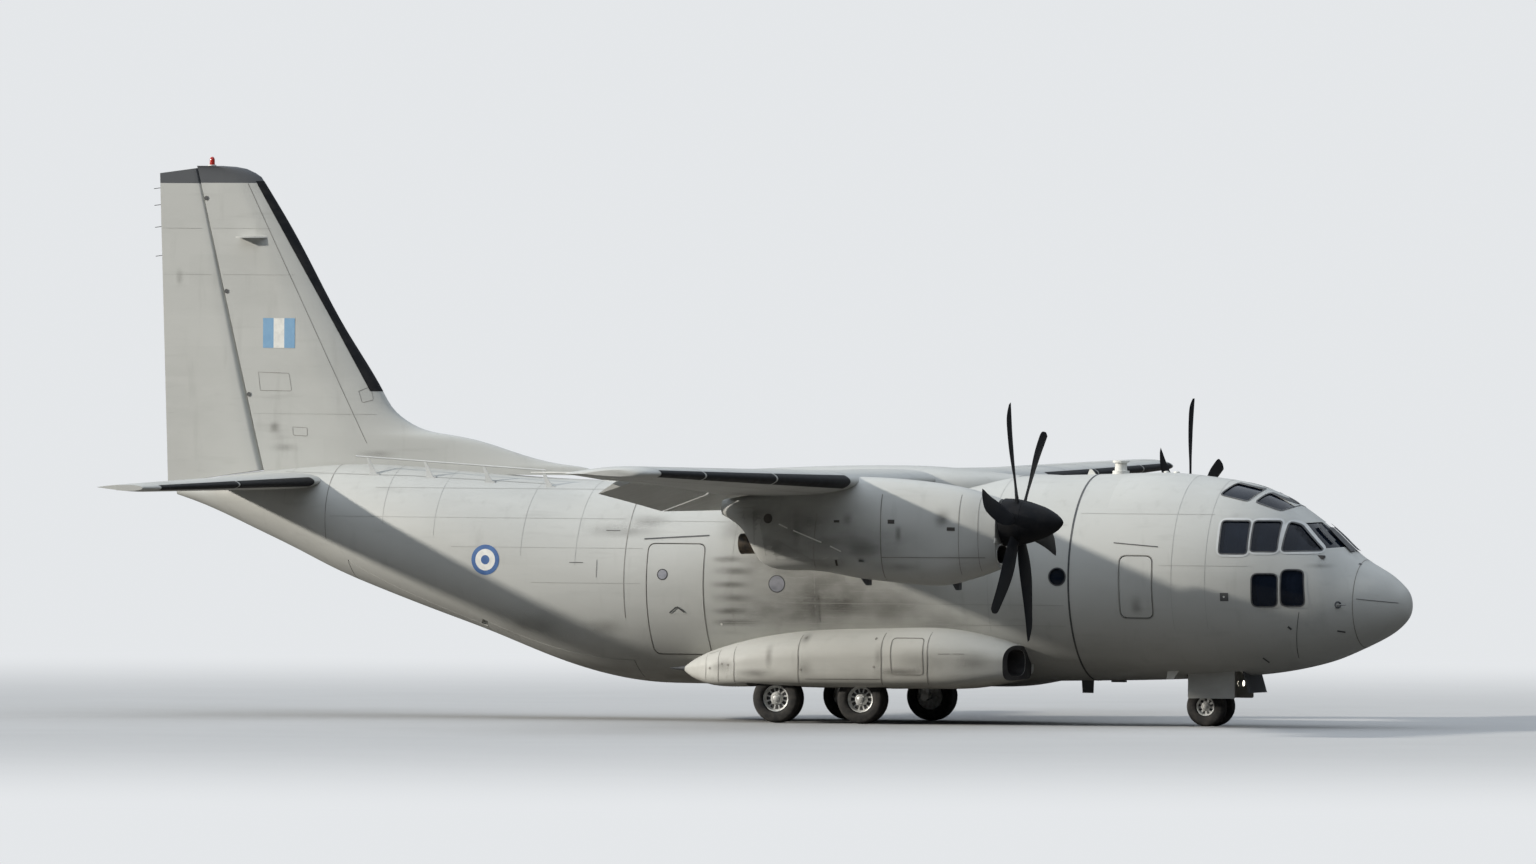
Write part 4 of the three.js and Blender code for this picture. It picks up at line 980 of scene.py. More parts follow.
def nacelles():
    angles = full_turn(72)
    rows = [nacelle_point(np.full(72, x), angles) for x in spread(0.64, 5.59, 0.07)]
    body = outward(grid(rows))
    outline = section(WING_THICK, WING_CAMBER, grow=0.0003)
    wing = outward(grid(wing_rows((3.0, 6.0), outline)))
    intake = outward(grid([oval_ring(x, ENGINE_Y, 0.3, 2.79, 3.1, 2.4) for x in (4.7, 5.7)]))
    above = block((-0.5, 4.0, 4.06), (3.02, 5.5, 5.0))
    room = tube([(0.9, ENGINE_Y, 3.079), (1.9, ENGINE_Y, 3.12)], 0.1755, 48)
    pipe_way = Vector((1.0, 0.0, 0.041)).normalized()
    pipe = ring([(0.0, 0.148), (0.0, 0.165), (0.012, 0.175), (0.6, 0.175), (0.6, 0.148)],
                (0.93, ENGINE_Y, 3.08), pipe_way)
    pipe_lining = ring([(0.004, 0.1465), (0.004, 0.1475), (0.25, 0.1475), (0.25, 0.1465)],
                       (0.93, ENGINE_Y, 3.08), pipe_way)
    # The throat is a black plug deep in the exhaust pipe: painted shade of the pipe beyond.
    throat = tube([(1.15, ENGINE_Y, 3.089), (1.5, ENGINE_Y, 3.104)], 0.146, 40)
    # The intake liner is black and closed at its deep end: painted shade inside the intake.
    liner = grid([oval_ring(x, ENGINE_Y, 0.298, 2.792, 3.098, 2.4) for x in (5.585, 4.705)], True,
                 (False, True))
    lip_path = [tuple(p) for p in oval_ring(5.588, ENGINE_Y, 0.312, 2.778, 3.112, 2.4)]
    lip = tube(lip_path + lip_path[:2], 0.014, 8)
    for side, put in PUTS:
        item = Bag().add(put(body)).make(f"nacelle_skin_{side}", [grey, lining])
        for cut in (wing, above, intake, room):
            carve(item, [put(cut)])
        piece(item, "airframe", [f"nacelle_{side}"])
        bag = Bag().add(put(pipe), 5).add(put(throat), 1).add(put(liner), 1).add(put(lip),
                                                                                 2).add(put(pipe_lining))
        for x, z, y in ((3.13, 2.4, 0.0), (4.65, 2.33, -0.25)):
            outline = rounded([(x - 0.16, 2.7), (x + 0.06, z), (x + 0.12, z), (x + 0.12, 2.7)], 0.02, 4)
            bag.add(put(prism(outline, ENGINE_Y + y - 0.07, ENGINE_Y + y + 0.07, "y")), 3)
        lamp = prism(rounded([(5.52, 3.14), (5.6, 3.14), (5.6, 3.22), (5.52, 3.22)], 0.015, 3),
                     ENGINE_Y + 0.3, ENGINE_Y + 0.415, "y")
        bag.add(put(lamp), 4)
        materials = [pipe_inside, black_paint_and_shade, metal, dark, white_ink, burnt]
        piece(bag.make(f"nacelle_parts_{side}", materials), "airframe", [])


# Propeller blade: radius, chord, pitch degrees, sweep back of the middle, thickness
BLADE = np.array([
    (0.2, 0.15, 62, 0.0, 0.11), (0.42, 0.23, 56, 0.0, 0.07), (0.8, 0.35, 48, -0.02, 0.045),
    (1.3, 0.38, 40, -0.02, 0.03), (1.75, 0.33, 35, 0.03, 0.02), (1.98, 0.24, 33, 0.1, 0.014),
    (2.075, 0.11, 32, 0.17, 0.008)])
FINE_PITCH = 32.0  # degrees that each blade is turned back about its own axis, to the ground setting
BLADES = 6
FIRST_BLADE = {"left": 0.0, "right": 20.0}


def smooth_table(table, rows):
    """A table read at more places of its first column, along a smooth curve."""
    table = np.asarray(table, float)
    curve = Curve(np.column_stack([table[:, 0], table[:, 1] * 0, table[:, 0] * 0,
                                   table[:, 0] * 0] + [table[:, i] for i in range(1, table.shape[1])]))
    out = curve(np.asarray(rows))
    return np.column_stack([rows, out[:, 4:]])


def blade():
    rows = []
    half = [(-0.5, 0.0), (-0.42, 0.26), (-0.25, 0.44), (0.0, 0.5), (0.2, 0.42), (0.38, 0.22), (0.47, 0.08),
            (0.5, 0.0),
            (0.47, -0.05), (0.38, -0.14), (0.2, -0.3), (0.0, -0.38), (-0.25, -0.36), (-0.42, -0.2)]
    for radius, chord, pitch, sweep, thick in smooth_table(BLADE,
                                                           np.concatenate([np.linspace(0.2, 1.9, 22),
                                                                           [1.95, 2.0, 2.04, 2.065,
                                                                            2.075]])):
        p = math.radians(pitch - FINE_PITCH)
        row = []
        for along, across in half:
            a, c = along * chord - sweep, across * thick
            row.append((a * math.sin(p) + c * math.cos(p), c * math.sin(p) - a * math.cos(p), radius))
        rows.append(row)
    return outward(grid(rows))


def moved(shape, matrix):
    points, faces = shape
    return [tuple(matrix @ Vector(p)) for p in points], faces


def propellers():
    one = blade()
    hub = turned([(-0.25, 0.0), (-0.25, 0.396), (-0.244, 0.403), (-0.12, 0.399), (0.0, 0.39),
                  (0.098, 0.372), (0.098, 0.0)],
                 (0, 0, 0), (1, 0, 0), 72)
    nose = [(0.102, 0.0), (0.102, 0.371), (0.2, 0.345), (0.32, 0.308), (0.45, 0.264), (0.57, 0.205),
            (0.67, 0.142), (0.73, 0.088),
            (0.765, 0.045), (0.785, 0.0)]
    for side, sign in HANDS:
        at = Matrix.Translation((PROPELLER_X, ENGINE_Y * sign, ENGINE_Z))
        bag = Bag().add(moved(hub, at))
        for k in range(BLADES):
            bag.add(moved(one, at @ Matrix.Rotation(math.radians(FIRST_BLADE[side] + 360 / BLADES * k), 4,
                                                    "X")))
        piece(bag.make(f"propeller_blades_{side}", [black]), f"propeller_{side}", [f"propeller_{side}"])
        cap = Bag().add(moved(turned(nose, (0, 0, 0), (1, 0, 0), 72), at)).make(f"spinner_skin_{side}",
                                                                                [black])
        piece(cap, f"propeller_{side}", [f"spinner_{side}"])


# Sponson: x, top, bottom, outer side
SPONSON = Curve([
    (-1.14, 0.96, 0.85, 1.61), (-0.99, 1.06, 0.76, 1.76), (-0.82, 1.15, 0.69, 1.87),
    (-0.59, 1.24, 0.63, 2.0),
    (0.1, 1.43, 0.61, 2.2), (1.16, 1.58, 0.6, 2.34), (2.71, 1.64, 0.6, 2.36), (3.45, 1.65, 0.61, 2.34),
    (3.99, 1.59, 0.62, 2.25), (4.4, 1.5, 0.68, 2.13), (4.7, 1.41, 0.74, 2.02), (4.95, 1.32, 0.8, 1.9)])
SPONSON_MIDDLE = 1.45
MAIN_X, MAIN_Y, MAIN_RADIUS = (0.65, 2.17), 1.88, 0.42
WELL = (0.13, 2.69, 1.33, 2.12, 0.96)


def sponson_point(x, angle):
    x, angle = np.broadcast_arrays(np.asarray(x, float), np.asarray(angle, float))
    row = SPONSON(x)
    table = np.column_stack([row[:, 0], row[:, 1], row[:, 2], row[:, 3] - SPONSON_MIDDLE,
                             np.full(len(row), 4.5)])
    return oval(table, angle, SPONSON_MIDDLE, above=2.2)


def scoop_lip(y):
    """Where the slanted front of the sponson is."""
    return np.interp(y, (1.25, 2.1), (4.9, 4.69))


def sponsons():
    angles = full_turn(96)
    t0, t1 = SPONSON.t[0], SPONSON.t[-1]
    rows = [sponson_point(np.full(96, x), angles) for x in SPONSON.at(np.linspace(t0, t1, 80))[:, 0]]
    body = outward(grid(rows))
    well = block((WELL[0], WELL[2], 0.0), (WELL[1], WELL[3], WELL[4]))
    inner = hull_solid(-3.0, 6.0, GAP, 0.15, 96)
    front = prism([(4.9, 1.0), (4.9, 1.25), (4.69, 2.1), (4.69, 2.6), (5.4, 2.6), (5.4, 1.0)], 0.4, 2.0,
                  "z")
    hole = outward(grid([oval_ring(x, 1.58, 0.28, 0.84, 1.29, 3.0) for x in (4.3, 5.1)]))
    deep = oval_ring(4.31, 1.58, 0.278, 0.842, 1.288, 3.0)
    mouth = deep.copy()
    mouth[:, 0] = scoop_lip(mouth[:, 1]) - 0.004
    # The intake liner is black and closed at its deep end: painted shade inside the intake.
    liner = grid([mouth, deep], True, (False, True))
    tail = turned([(0.0, 0.006), (0.05, 0.014), (0.2, 0.032), (0.32, 0.052), (0.43, 0.06)],
                  (-1.43, 1.53, 0.905), (1, 0, 0), 24)
    for side, put in PUTS:
        item = Bag().add(put(body)).make(f"sponson_skin_{side}", [pale, lining])
        for cut in (well, front, hole, inner):
            carve(item, [put(cut)])
        item.data.materials.append(black_paint_and_shade)
        for face in item.data.polygons:
            if face.center.x > 4.55 and face.normal.x > 0.6:
                face.material_index = len(item.data.materials) - 1
        piece(item, "airframe", [f"sponson_{side}"])
        bag = Bag().add(put(liner)).add(put(tail), 1)
        mark(bag, f"sponson_dark_parts_{side}", [black_paint_and_shade, dark])


# Landing gear
LEG_Y, AXLE = 1.52, 0.045
NOSE_X, NOSE_Y, NOSE_RADIUS, STEERING_X = 7.8, 0.235, 0.34, 7.86
MAIN_WHEEL = (MAIN_RADIUS, 0.38, 0.23, AXLE + 0.004)
NOSE_WHEEL = (NOSE_RADIUS, 0.22, 0.165, 0.03)


def tyre(wheel, at, grooves):
    """A tyre with round shoulders and grooves around its tread."""
    radius, width, rim, _ = wheel
    half, deep = width / 2, radius - rim
    side = [(-0.72, 0.0), (-0.9, 0.06), (-0.985, 0.2), (-1.0, 0.36), (-0.995, 0.55), (-0.972, 0.72),
            (-0.91, 0.86), (-0.8, 0.945)]
    profile = [(a * half, rim + b * deep) for a, b in side]
    tread = [(-0.66, 0.98), (-0.5, 0.992), (-0.3, 0.999), (-0.1, 1.0), (0.1, 1.0), (0.3, 0.999),
             (0.5, 0.992), (0.66, 0.98)]
    flat = []
    for a, b in tread:
        flat.append((a * half, rim + b * deep))
    out = [flat[0]]
    for g in grooves:
        top = float(np.interp(g, [a for a, _ in tread], [b for _, b in tread]))
        for a, b in ((g - 0.045, top), (g - 0.03, top - 0.05), (g + 0.03, top - 0.05), (g + 0.045, top)):
            out.append((a * half, rim + b * deep))
    out.append(flat[-1])
    mirrored_side = [(-a, b) for a, b in profile[::-1]]
    return ring(profile + out + mirrored_side, at, (0, 1, 0), 96)


def hub(wheel, at, face):
    """A wheel rim with a dished face; face is the side of its outer face."""
    _, width, rim, bore = wheel
    half = width * 0.36
    rim -= 0.0005
    shape = [(-half, bore), (-half, rim * 0.55), (-half * 0.85, rim * 0.9), (-half, rim),
             (half * 1.02, rim), (half * 1.1, rim - 0.006),
             (half * 1.06, rim - 0.02), (half * 0.8, rim - 0.03), (half * 0.66, rim * 0.8),
             (half * 0.66, rim * 0.5),
             (half * 0.92, rim * 0.4), (half * 1.02, rim * 0.34), (half * 1.02, bore)]
    return ring([(a * face, r) for a, r in shape], at, (0, 1, 0), 72)


def hub_holes(wheel, at, face, count):
    """Black slots on the dished face of a wheel: painted shade of its holes."""
    _, width, rim, _ = wheel
    half = width * 0.36
    wide = rim * 0.085
    shapes = []
    for k in range(count):
        turn = Matrix.Translation(at) @ Matrix.Rotation(TURN * k / count, 4, "Y")
        corners = [(-wide, rim * 0.5), (wide, rim * 0.5), (wide * 1.7, rim * 0.8), (-wide * 1.7, rim * 0.8)]
        slot = prism(rounded(corners, wide * 0.7, 3), *sorted((half * 0.4 * face, half * 0.675 * face)),
                     "y")
        shapes.append(moved(slot, turn))
    return shapes


def hub_cap(wheel, at, face):
    """The cover over the axle end, with a ring of bolt heads."""
    _, width, rim, _ = wheel
    half = width * 0.36
    at = Vector(at)
    shapes = [turned([(0.0, 0.0), (0.0, rim * 0.24), (0.02, rim * 0.22), (0.03, rim * 0.12), (0.03, 0.0)],
                     at + Vector((0, half * 1.02 * face, 0)), (0, face, 0), 36)]
    for k in range(10):
        a = TURN * k / 10
        at_bolt = at + Vector((rim * 0.29 * math.cos(a), half * 1.02 * face, rim * 0.29 * math.sin(a)))
        shapes.append(turned([(0.0, 0.0), (0.0, 0.008), (0.008, 0.007), (0.008, 0.0)], at_bolt,
                             (0, face, 0), 8))
    return shapes


def wheels():
    places = [(f"main_wheel_{side}_{end}", f"{side}_{end}", "main", MAIN_WHEEL,
               (x, MAIN_Y * sign, MAIN_RADIUS), sign)
              for side, sign in HANDS for end, x in zip(("rear", "front"), MAIN_X)]
    places += [("nose_wheels", side, "nose", NOSE_WHEEL, (NOSE_X, NOSE_Y * sign, NOSE_RADIUS), sign)
               for side, sign in HANDS]
    for body, end, kind, wheel, at, sign in places:
        grooves, slots = ((-0.34, -0.12, 0.12, 0.34), 12) if kind == "main" else ((-0.3, 0.0, 0.3), 9)
        item = Bag().add(tyre(wheel, at, grooves)).make(f"{kind}_tyre_{end}_fine", [rubber])
        piece(item, body, [f"{kind}_tyre_{end}"])
        bag = Bag().add(hub(wheel, at, sign))
        for shape in hub_holes(wheel, at, sign, slots):
            bag.add(shape, 1)
        for shape in hub_cap(wheel, at, sign):
            bag.add(shape)
        piece(bag.make(f"{kind}_hub_{end}_fine", [hub_paint, black_paint_and_shade]), body, [f"{kind}_hub_{end}"])


def legs():
    for side, sign in HANDS:
        put = (lambda shape: shape) if sign > 0 else mirror
        bag = Bag().add(put(block((MAIN_X[0] - 0.06, LEG_Y - 0.07, 0.84),
                                  (MAIN_X[1] + 0.06, LEG_Y + 0.07, WELL[4] - GAP))))
        for x in MAIN_X:
            bag.add(put(tube([(x, LEG_Y, MAIN_RADIUS), (x, LEG_Y, 0.9)], [0.062, 0.058], 24)))
            bag.add(put(tube([(x, LEG_Y - 0.06, MAIN_RADIUS), (x, LEG_Y + 0.06, MAIN_RADIUS)], 0.075, 24)))
            bag.add(put(tube([(x, LEG_Y, MAIN_RADIUS), (x, MAIN_Y + 0.12, MAIN_RADIUS)], AXLE, 24)))
        piece(bag.make(f"main_leg_fine_{side}", [metal]), "airframe", [f"main_leg_{side}"])
    top = COCKPIT_FLOOR - 0.06 - GAP
    bag = Bag().add(tube([(STEERING_X, 0, 0.768), (STEERING_X, 0, 0.8), (STEERING_X, 0, 0.82),
                          (STEERING_X, 0, top)],
                         [0.075, 0.075, 0.068, 0.068], 28))
    bag.add(tube([(STEERING_X, 0, 1.02), (STEERING_X, 0, 1.1)], 0.085, 28))
    bag.add(tube([(STEERING_X + 0.02, 0, 1.15), (STEERING_X + 0.64, 0, 1.5)], 0.035, 16))
    bag.add(block((STEERING_X + 0.6, -0.12, 1.45), (STEERING_X + 0.68, 0.12, 1.929)))
    bag.add(block((8.33, -0.02, 0.74), (8.37, 0.02, 1.44)))
    bag.add(block((8.33, -0.2, 0.72), (8.37, 0.2, 0.76)))
    for y in (-0.16, 0.16):
        bag.add(turned([(0.0, 0.0), (0.0, 0.045), (0.07, 0.06), (0.09, 0.06), (0.09, 0.052), (0.086, 0.0)],
                       (8.34, y, 0.74), (1, 0, 0), 24))
        bag.add(turned([(0.0, 0.0), (0.0, 0.051), (0.012, 0.04), (0.016, 0.0)], (8.4265, y, 0.74),
                       (1, 0, 0), 24), 1)
        bag.add(turned([(0.0, 0.0), (0.0, 0.046), (0.004, 0.0)], (8.3395, y, 0.74), (-1, 0, 0), 24), 1)
    piece(bag.make("nose_leg_fine", [pale, lit]), "airframe", ["nose_leg"])
    bag = Bag().add(tube([(STEERING_X, 0, NOSE_RADIUS - 0.06), (STEERING_X, 0, 0.5)], 0.06, 28))
    bag.add(tube([(STEERING_X, 0, 0.5), (STEERING_X, 0, 0.76)], 0.045, 28), 1)
    bag.add(tube([(STEERING_X, 0, 0.7), (STEERING_X, 0, 0.755)], 0.06, 28))
    bag.add(block((NOSE_X - 0.06, -0.05, NOSE_RADIUS - 0.06), (STEERING_X + 0.05, 0.05,
                                                               NOSE_RADIUS + 0.07)))
    bag.add(tube([(NOSE_X, -NOSE_Y - 0.06, NOSE_RADIUS), (NOSE_X, NOSE_Y + 0.06, NOSE_RADIUS)], 0.026, 20))
    for low, high in (((STEERING_X + 0.05, 0, 0.42), (STEERING_X + 0.15, 0, 0.56)),
                      ((STEERING_X + 0.15, 0, 0.56), (STEERING_X + 0.05, 0, 0.72))):
        for y in (-0.035, 0.035):
            bag.add(tube([Vector(low) + Vector((0, y, 0)), Vector(high) + Vector((0, y * 0.5, 0))], 0.013,
                         10))
    piece(bag.make("nose_fork_fine", [metal, bright]), "nose_steering", ["nose_fork"])
    belly = hull_solid(7.0, 9.0, GAP, 0.1, 96)
    for side, sign in HANDS:
        y = (GEAR_BAY[2] + 0.015) * sign
        outline = rounded([(7.555, 0.48), (8.39, 0.48), (8.39, 1.05), (7.555, 1.05)], 0.03)
        door = Bag().add(prism(outline, *sorted((y, y + 0.025 * sign)),
                               "y")).make(f"nose_door_fine_{side}", [grey])
        carve(door, [belly])
        piece(door, "airframe", [f"nose_door_{side}"])
        bag = Bag()
        for x in (7.75, 8.2):
            bag.add(tube([(x, y - 0.01 * sign, 0.8), (x, y - 0.16 * sign, 1.02)], 0.012, 10))
        mark(bag, f"nose_door_rods_{side}", metal)
    outline = [(8.465, 1.1), (8.495, 1.1), (8.65, 0.58), (8.62, 0.58)]
    door = Bag().add(prism(outline, -0.48, 0.48, "y")).make("nose_door_fine_front", [dark])
    carve(door, [belly])
    piece(door, "airframe", ["nose_door_front"])


def inside_parts():
    floor = Bag().add(hull_solid(REAR_JOINT, 7.4, -WALL - GAP, 0.3, 72)).make("cargo_floor_fine",
                                                                              [floor_metal])
    carve(floor, [block((REAR_JOINT + SEAM, -1.7, FLOOR_TOP - 0.06), (7.35, 1.7, FLOOR_TOP))], "INTERSECT")
    piece(floor, "airframe", ["cargo_floor"])
    deck = Bag().add(hull_solid(7.6, 10.0, -WALL - GAP, 0.2, 72)).make("cockpit_floor_fine", [floor_metal])
    deck_parts = [block((7.62, -1.7, COCKPIT_FLOOR - 0.06), (9.95, 1.7, COCKPIT_FLOOR)),
                  block((8.13, 0.35, COCKPIT_FLOOR + 0.0005), (8.18, 1.75, 4.3)),
                  block((8.13, -1.75, COCKPIT_FLOOR + 0.0005), (8.18, -0.35, 4.3)),
                  block((8.13, -0.349, 3.75), (8.18, 0.349, 4.3))]
    carve(deck, deck_parts, "INTERSECT")
    piece(deck, "airframe", ["cockpit_floor"])
    panel = Bag().add(block((9.6, -0.85, COCKPIT_FLOOR + GAP), (9.8, 0.85, 2.9)))
    panel.add(prism(rounded([(9.45, 2.88), (10.08, 2.88), (10.08, 2.94), (9.5, 2.96)], 0.03), -0.9, 0.9,
                    "y"))
    item = panel.make("instrument_panel_fine", [plastic])
    piece(item, "airframe", ["instrument_panel"])
    for side, sign in HANDS:
        y = 0.52 * sign
        bag = Bag().add(prism(rounded([(8.8, 2.33), (9.25, 2.33), (9.25, 2.45), (8.8, 2.45)], 0.05),
                              y - 0.23, y + 0.23, "y"))
        bag.add(prism(rounded([(8.76, 2.4), (8.88, 2.4), (8.8, 3.28), (8.69, 3.28)], 0.05), y - 0.22,
                      y + 0.22, "y"))
        bag.add(block((8.85, y - 0.09, COCKPIT_FLOOR + GAP), (9.15, y + 0.09, 2.4)))
        piece(bag.make(f"pilot_seat_fine_{side}", [seat]), "airframe", [f"pilot_seat_{side}"])


def window_glass():
    cuts, shields = window_cuts(0.006)
    band = hull_wall(8.1, 10.4, -0.018, 0.012, 0.06)
    panes = []
    for k, shapes in enumerate((cuts, shields)):
        item = Bag().add(band).make(f"cockpit_panes_{k}", [glass])
        panes.append(carve(item, shapes, "INTERSECT"))
    piece(panes[0], "airframe", ["cockpit_glazing"])
    piece(panes[1], "airframe", [])
    band = hull_wall(-2.0, 5.9, -0.03, 0.012, 0.2)
    shapes = []
    for x, z, radius in [*PORTHOLES, PARA_WINDOW]:
        shape = prism(circle((x, z), radius + 0.004), 1.2, 2.0, "y")
        shapes += [shape, mirror(shape)]
    item = Bag().add(band).make("porthole_panes", [glass])
    piece(carve(item, shapes, "INTERSECT"), "airframe", [])


def rail_aerial():
    """A rail on four posts along the roof, to starboard."""
    y = -0.7
    bag = Bag().add(tube([(-7.47, y, 4.482), (-4.0, y, 4.266)], 0.014, 12))
    for foot_x, foot_z, head_x, head_z in ((-7.12, 4.17, -7.26, 4.47), (-6.09, 4.13, -6.21, 4.41),
                                           (-5.01, 4.06, -5.14, 4.34),
                                           (-3.91, 3.98, -4.06, 4.27)):
        outline = [(foot_x - 0.06, foot_z - 0.02), (foot_x + 0.05, foot_z - 0.02),
                   (head_x + 0.018, head_z), (head_x - 0.018, head_z)]
        bag.add(prism(outline, y - 0.01, y + 0.01, "y"), 1)
        bag.add(block((foot_x - 0.09, y - 0.03, foot_z - 0.05), (foot_x + 0.09, y + 0.03, foot_z + 0.012)),
                1)
    piece(bag.make("rail_aerial_fine", [frame_paint, frame_paint]), "airframe", ["rail_aerial"])


# Marks and fittings on the surfaces, placed as seen from the side by X and Z
def on_hull(x, z, side, lift):
    return hull.lifted(x, hull_angle(x, z, side), lift)[0]


def on_fin(x, z, side, lift):
    lead = FIN(np.minimum(z, FIN_TOP))[:, 1]
    return np.stack([x, side * (fin_half(x, z, lead) + lift), z], axis=1)


def beside(curve, middle, above, below):
    """The outer side of a long body: its half width is the curve's last column."""
    def place(x, z, side, lift):
        row = curve(x)
        share = np.clip((z - (row[:, 1] + row[:, 2]) / 2) / ((row[:, 1] - row[:, 2]) / 2), -0.9999, 0.9999)
        power = np.where(share >= 0, above, below)
        half = row[:, 3] - (middle if curve is SPONSON else 0.0)
        y = middle + half * (1 - np.abs(share) ** power) ** (1 / power) + lift
        return np.stack([x, side * y, z], axis=1)
    return place


on_nacelle = beside(NACELLE, ENGINE_Y, 2.4, 2.6)
on_sponson = beside(SPONSON, SPONSON_MIDDLE, 2.2, 4.5)


def band(on, path, width, side, lift=0.003, closed=False, step=0.05):
    """A flat band along a path of (x, z) pairs."""
    path = np.asarray(path, float)
    if closed:
        path = np.vstack([path, path[:1]])
    reach = np.concatenate([[0.0], np.cumsum(np.linalg.norm(np.diff(path, axis=0), axis=1))])
    at = np.linspace(0.0, reach[-1], max(3, int(reach[-1] / step) + 2))
    x, z = np.interp(at, reach, path[:, 0]), np.interp(at, reach, path[:, 1])
    dx, dz = np.gradient(x), np.gradient(z)
    if closed:
        dx[0] = dx[-1] = x[1] - x[-2]
        dz[0] = dz[-1] = z[1] - z[-2]
    size = np.maximum(np.hypot(dx, dz), 1e-9)
    nx, nz = -dz / size * width / 2, dx / size * width / 2
    return grid(np.stack([on(x + nx, z + nz, side, lift), on(x - nx, z - nz, side, lift)], axis=1),
                around=False)


def patch(on, x0, x1, z0, z1, side, lift, count=8):
    """A filled four-sided mark."""
    z = np.linspace(z0, z1, count)
    return grid([on(np.full(count, x), z, side, lift) for x in np.linspace(x0, x1, count)], around=False)


def disc(on, at, inside, outside, side, lift=0.003, count=40):
    """A round mark or ring."""
    turns = np.linspace(0, TURN, count + 1)
    rows = [on(at[0] + r * np.cos(turns), at[1] + r * np.sin(turns), side, lift)
            for r in np.linspace(max(inside, 1e-4), outside, 4)]
    return grid(rows, around=False)


def arc(skin, x, low, high, width, lift=0.003, count=60):
    """A band across a long body, between two angles."""
    turns = np.linspace(low, high, count)
    return skin.strip(np.column_stack([np.full(count, x), turns]), width, lift)


THICK_SEAM = 0.034
RINGS = [-8.75, -6.75, -5.75, -4.1, -3.1, -0.25, 1.25, 2.75, 4.35, 7.62, 8.2]
LENGTHWISE = [(-7.8, -2.3, 3.45), (-7.0, -2.3, 3.95), (-2.1, 5.7, 3.42), (5.9, 8.25, 3.62),
              (-0.6, 5.7, 2.05), (-0.6, 5.7, 1.7),
              (-3.9, -1.9, 2.35), (-5.4, -1.9, 2.95), (7.4, 8.9, 2.75)]
SHORT_LINES = [
    ((-1.885, 3.112), (-0.716, 3.182), 0.022),  # rain gutter over the paratroop door
    ((6.574, 3.127), (7.368, 3.065), 0.018),  # rain gutter over the hatch
    ((9.735, 1.98), (9.564, 1.19), 0.01), ((10.62, 2.205), (11.23, 2.138), 0.01),
    ((8.99, 1.19), (9.06, 1.11), 0.028),
    ((10.3, 1.66), (10.42, 1.64), 0.026), ((9.53, 1.73), (9.58, 1.68), 0.036),
    ((10.54, 2.8), (10.58, 2.78), 0.02),
    ((-3.2, 2.7), (-2.95, 2.7), 0.01), ((-2.6, 3.25), (-2.35, 3.25), 0.01),
    ((-2.7, 2.45), (-2.7, 2.75), 0.008)]
# Soft smudges of grime on the skins; some of them are painted shade, as noted below.
STAINS_AND_SHADE = {  # surface, strong or weak: x, z, half length and half height of each soft smudge
    ("hull", True): [(-0.3, 2.78, 0.4, 0.08), (-0.22, 2.58, 0.52, 0.09), (-0.28, 2.35, 0.44, 0.08),
                     (-0.2, 2.12, 0.5, 0.09), (-0.26, 1.9, 0.46, 0.08), (-0.22, 1.7, 0.5, 0.08),
                     (1.1, 2.15, 0.55, 0.42), (1.75, 2.05, 0.45, 0.35), (6.99, 2.08, 0.14, 0.22),
                     # The wide smudge at x 1.6 is painted shade under the nacelle and wing, over some grime.
                     (1.6, 2.2, 2.6, 0.95)],
    ("hull", False): [(2.7, 1.95, 0.8, 0.35), (0.5, 1.85, 1.3, 0.35), (0.6, 2.75, 1.2, 0.35),
                      (10.02, 2.76, 0.32, 0.06), (3.6, 1.75, 0.8, 0.3), (1.2, 2.0, 0.12, 0.4),
                      # The smudge at x -2.3 and z 3.25 is a painted shadow of the flap.
                      (-2.6, 1.6, 0.5, 0.2), (-2.3, 3.25, 0.9, 0.16), (-1.9, 3.42, 0.6, 0.14),
                      (-4.0, 1.6, 1.2, 0.4), (-0.2, 3.3, 0.5, 0.25)],
    ("fin", True): [(-9.17, 4.96, 0.13, 0.15)],
    ("fin", False): [(-9.0, 4.62, 0.35, 0.1), (-7.3, 4.52, 0.5, 0.1)],
    ("rudder", True): [(-10.69, 4.55, 0.18, 0.27), (-9.8, 4.6, 0.14, 0.27)],
    ("rudder", False): [(-10.98, 7.56, 0.09, 0.2)],
    # The wide first smudge on the nacelle is painted shade over its side.
    ("nacelle", True): [(2.2, 3.3, 1.7, 0.75), (3.02, 3.52, 0.13, 0.15), (3.93, 3.28, 0.08, 0.2),
                        (4.7, 3.55, 0.18, 0.22), (2.6, 2.75, 0.7, 0.14), (1.3, 3.55, 0.5, 0.25)],
    ("nacelle", False): [(3.6, 3.1, 1.3, 0.45), (2.1, 3.3, 0.1, 0.45), (1.6, 3.0, 0.5, 0.18),
                         (3.9, 2.72, 0.7, 0.12), (3.3, 3.0, 0.4, 0.2)],
    ("sponson", False): [(0.6, 1.15, 0.1, 0.3), (1.28, 0.95, 0.2, 0.2), (2.6, 1.15, 0.1, 0.28),
                         (3.4, 1.1, 0.7, 0.28), (-0.3, 0.95, 0.3, 0.2), (4.2, 1.1, 0.4, 0.25)],
    ("sponson", True): [(1.22, 1.45, 0.12, 0.12), (0.3, 0.85, 0.5, 0.1), (3.0, 0.9, 0.6, 0.1)]}


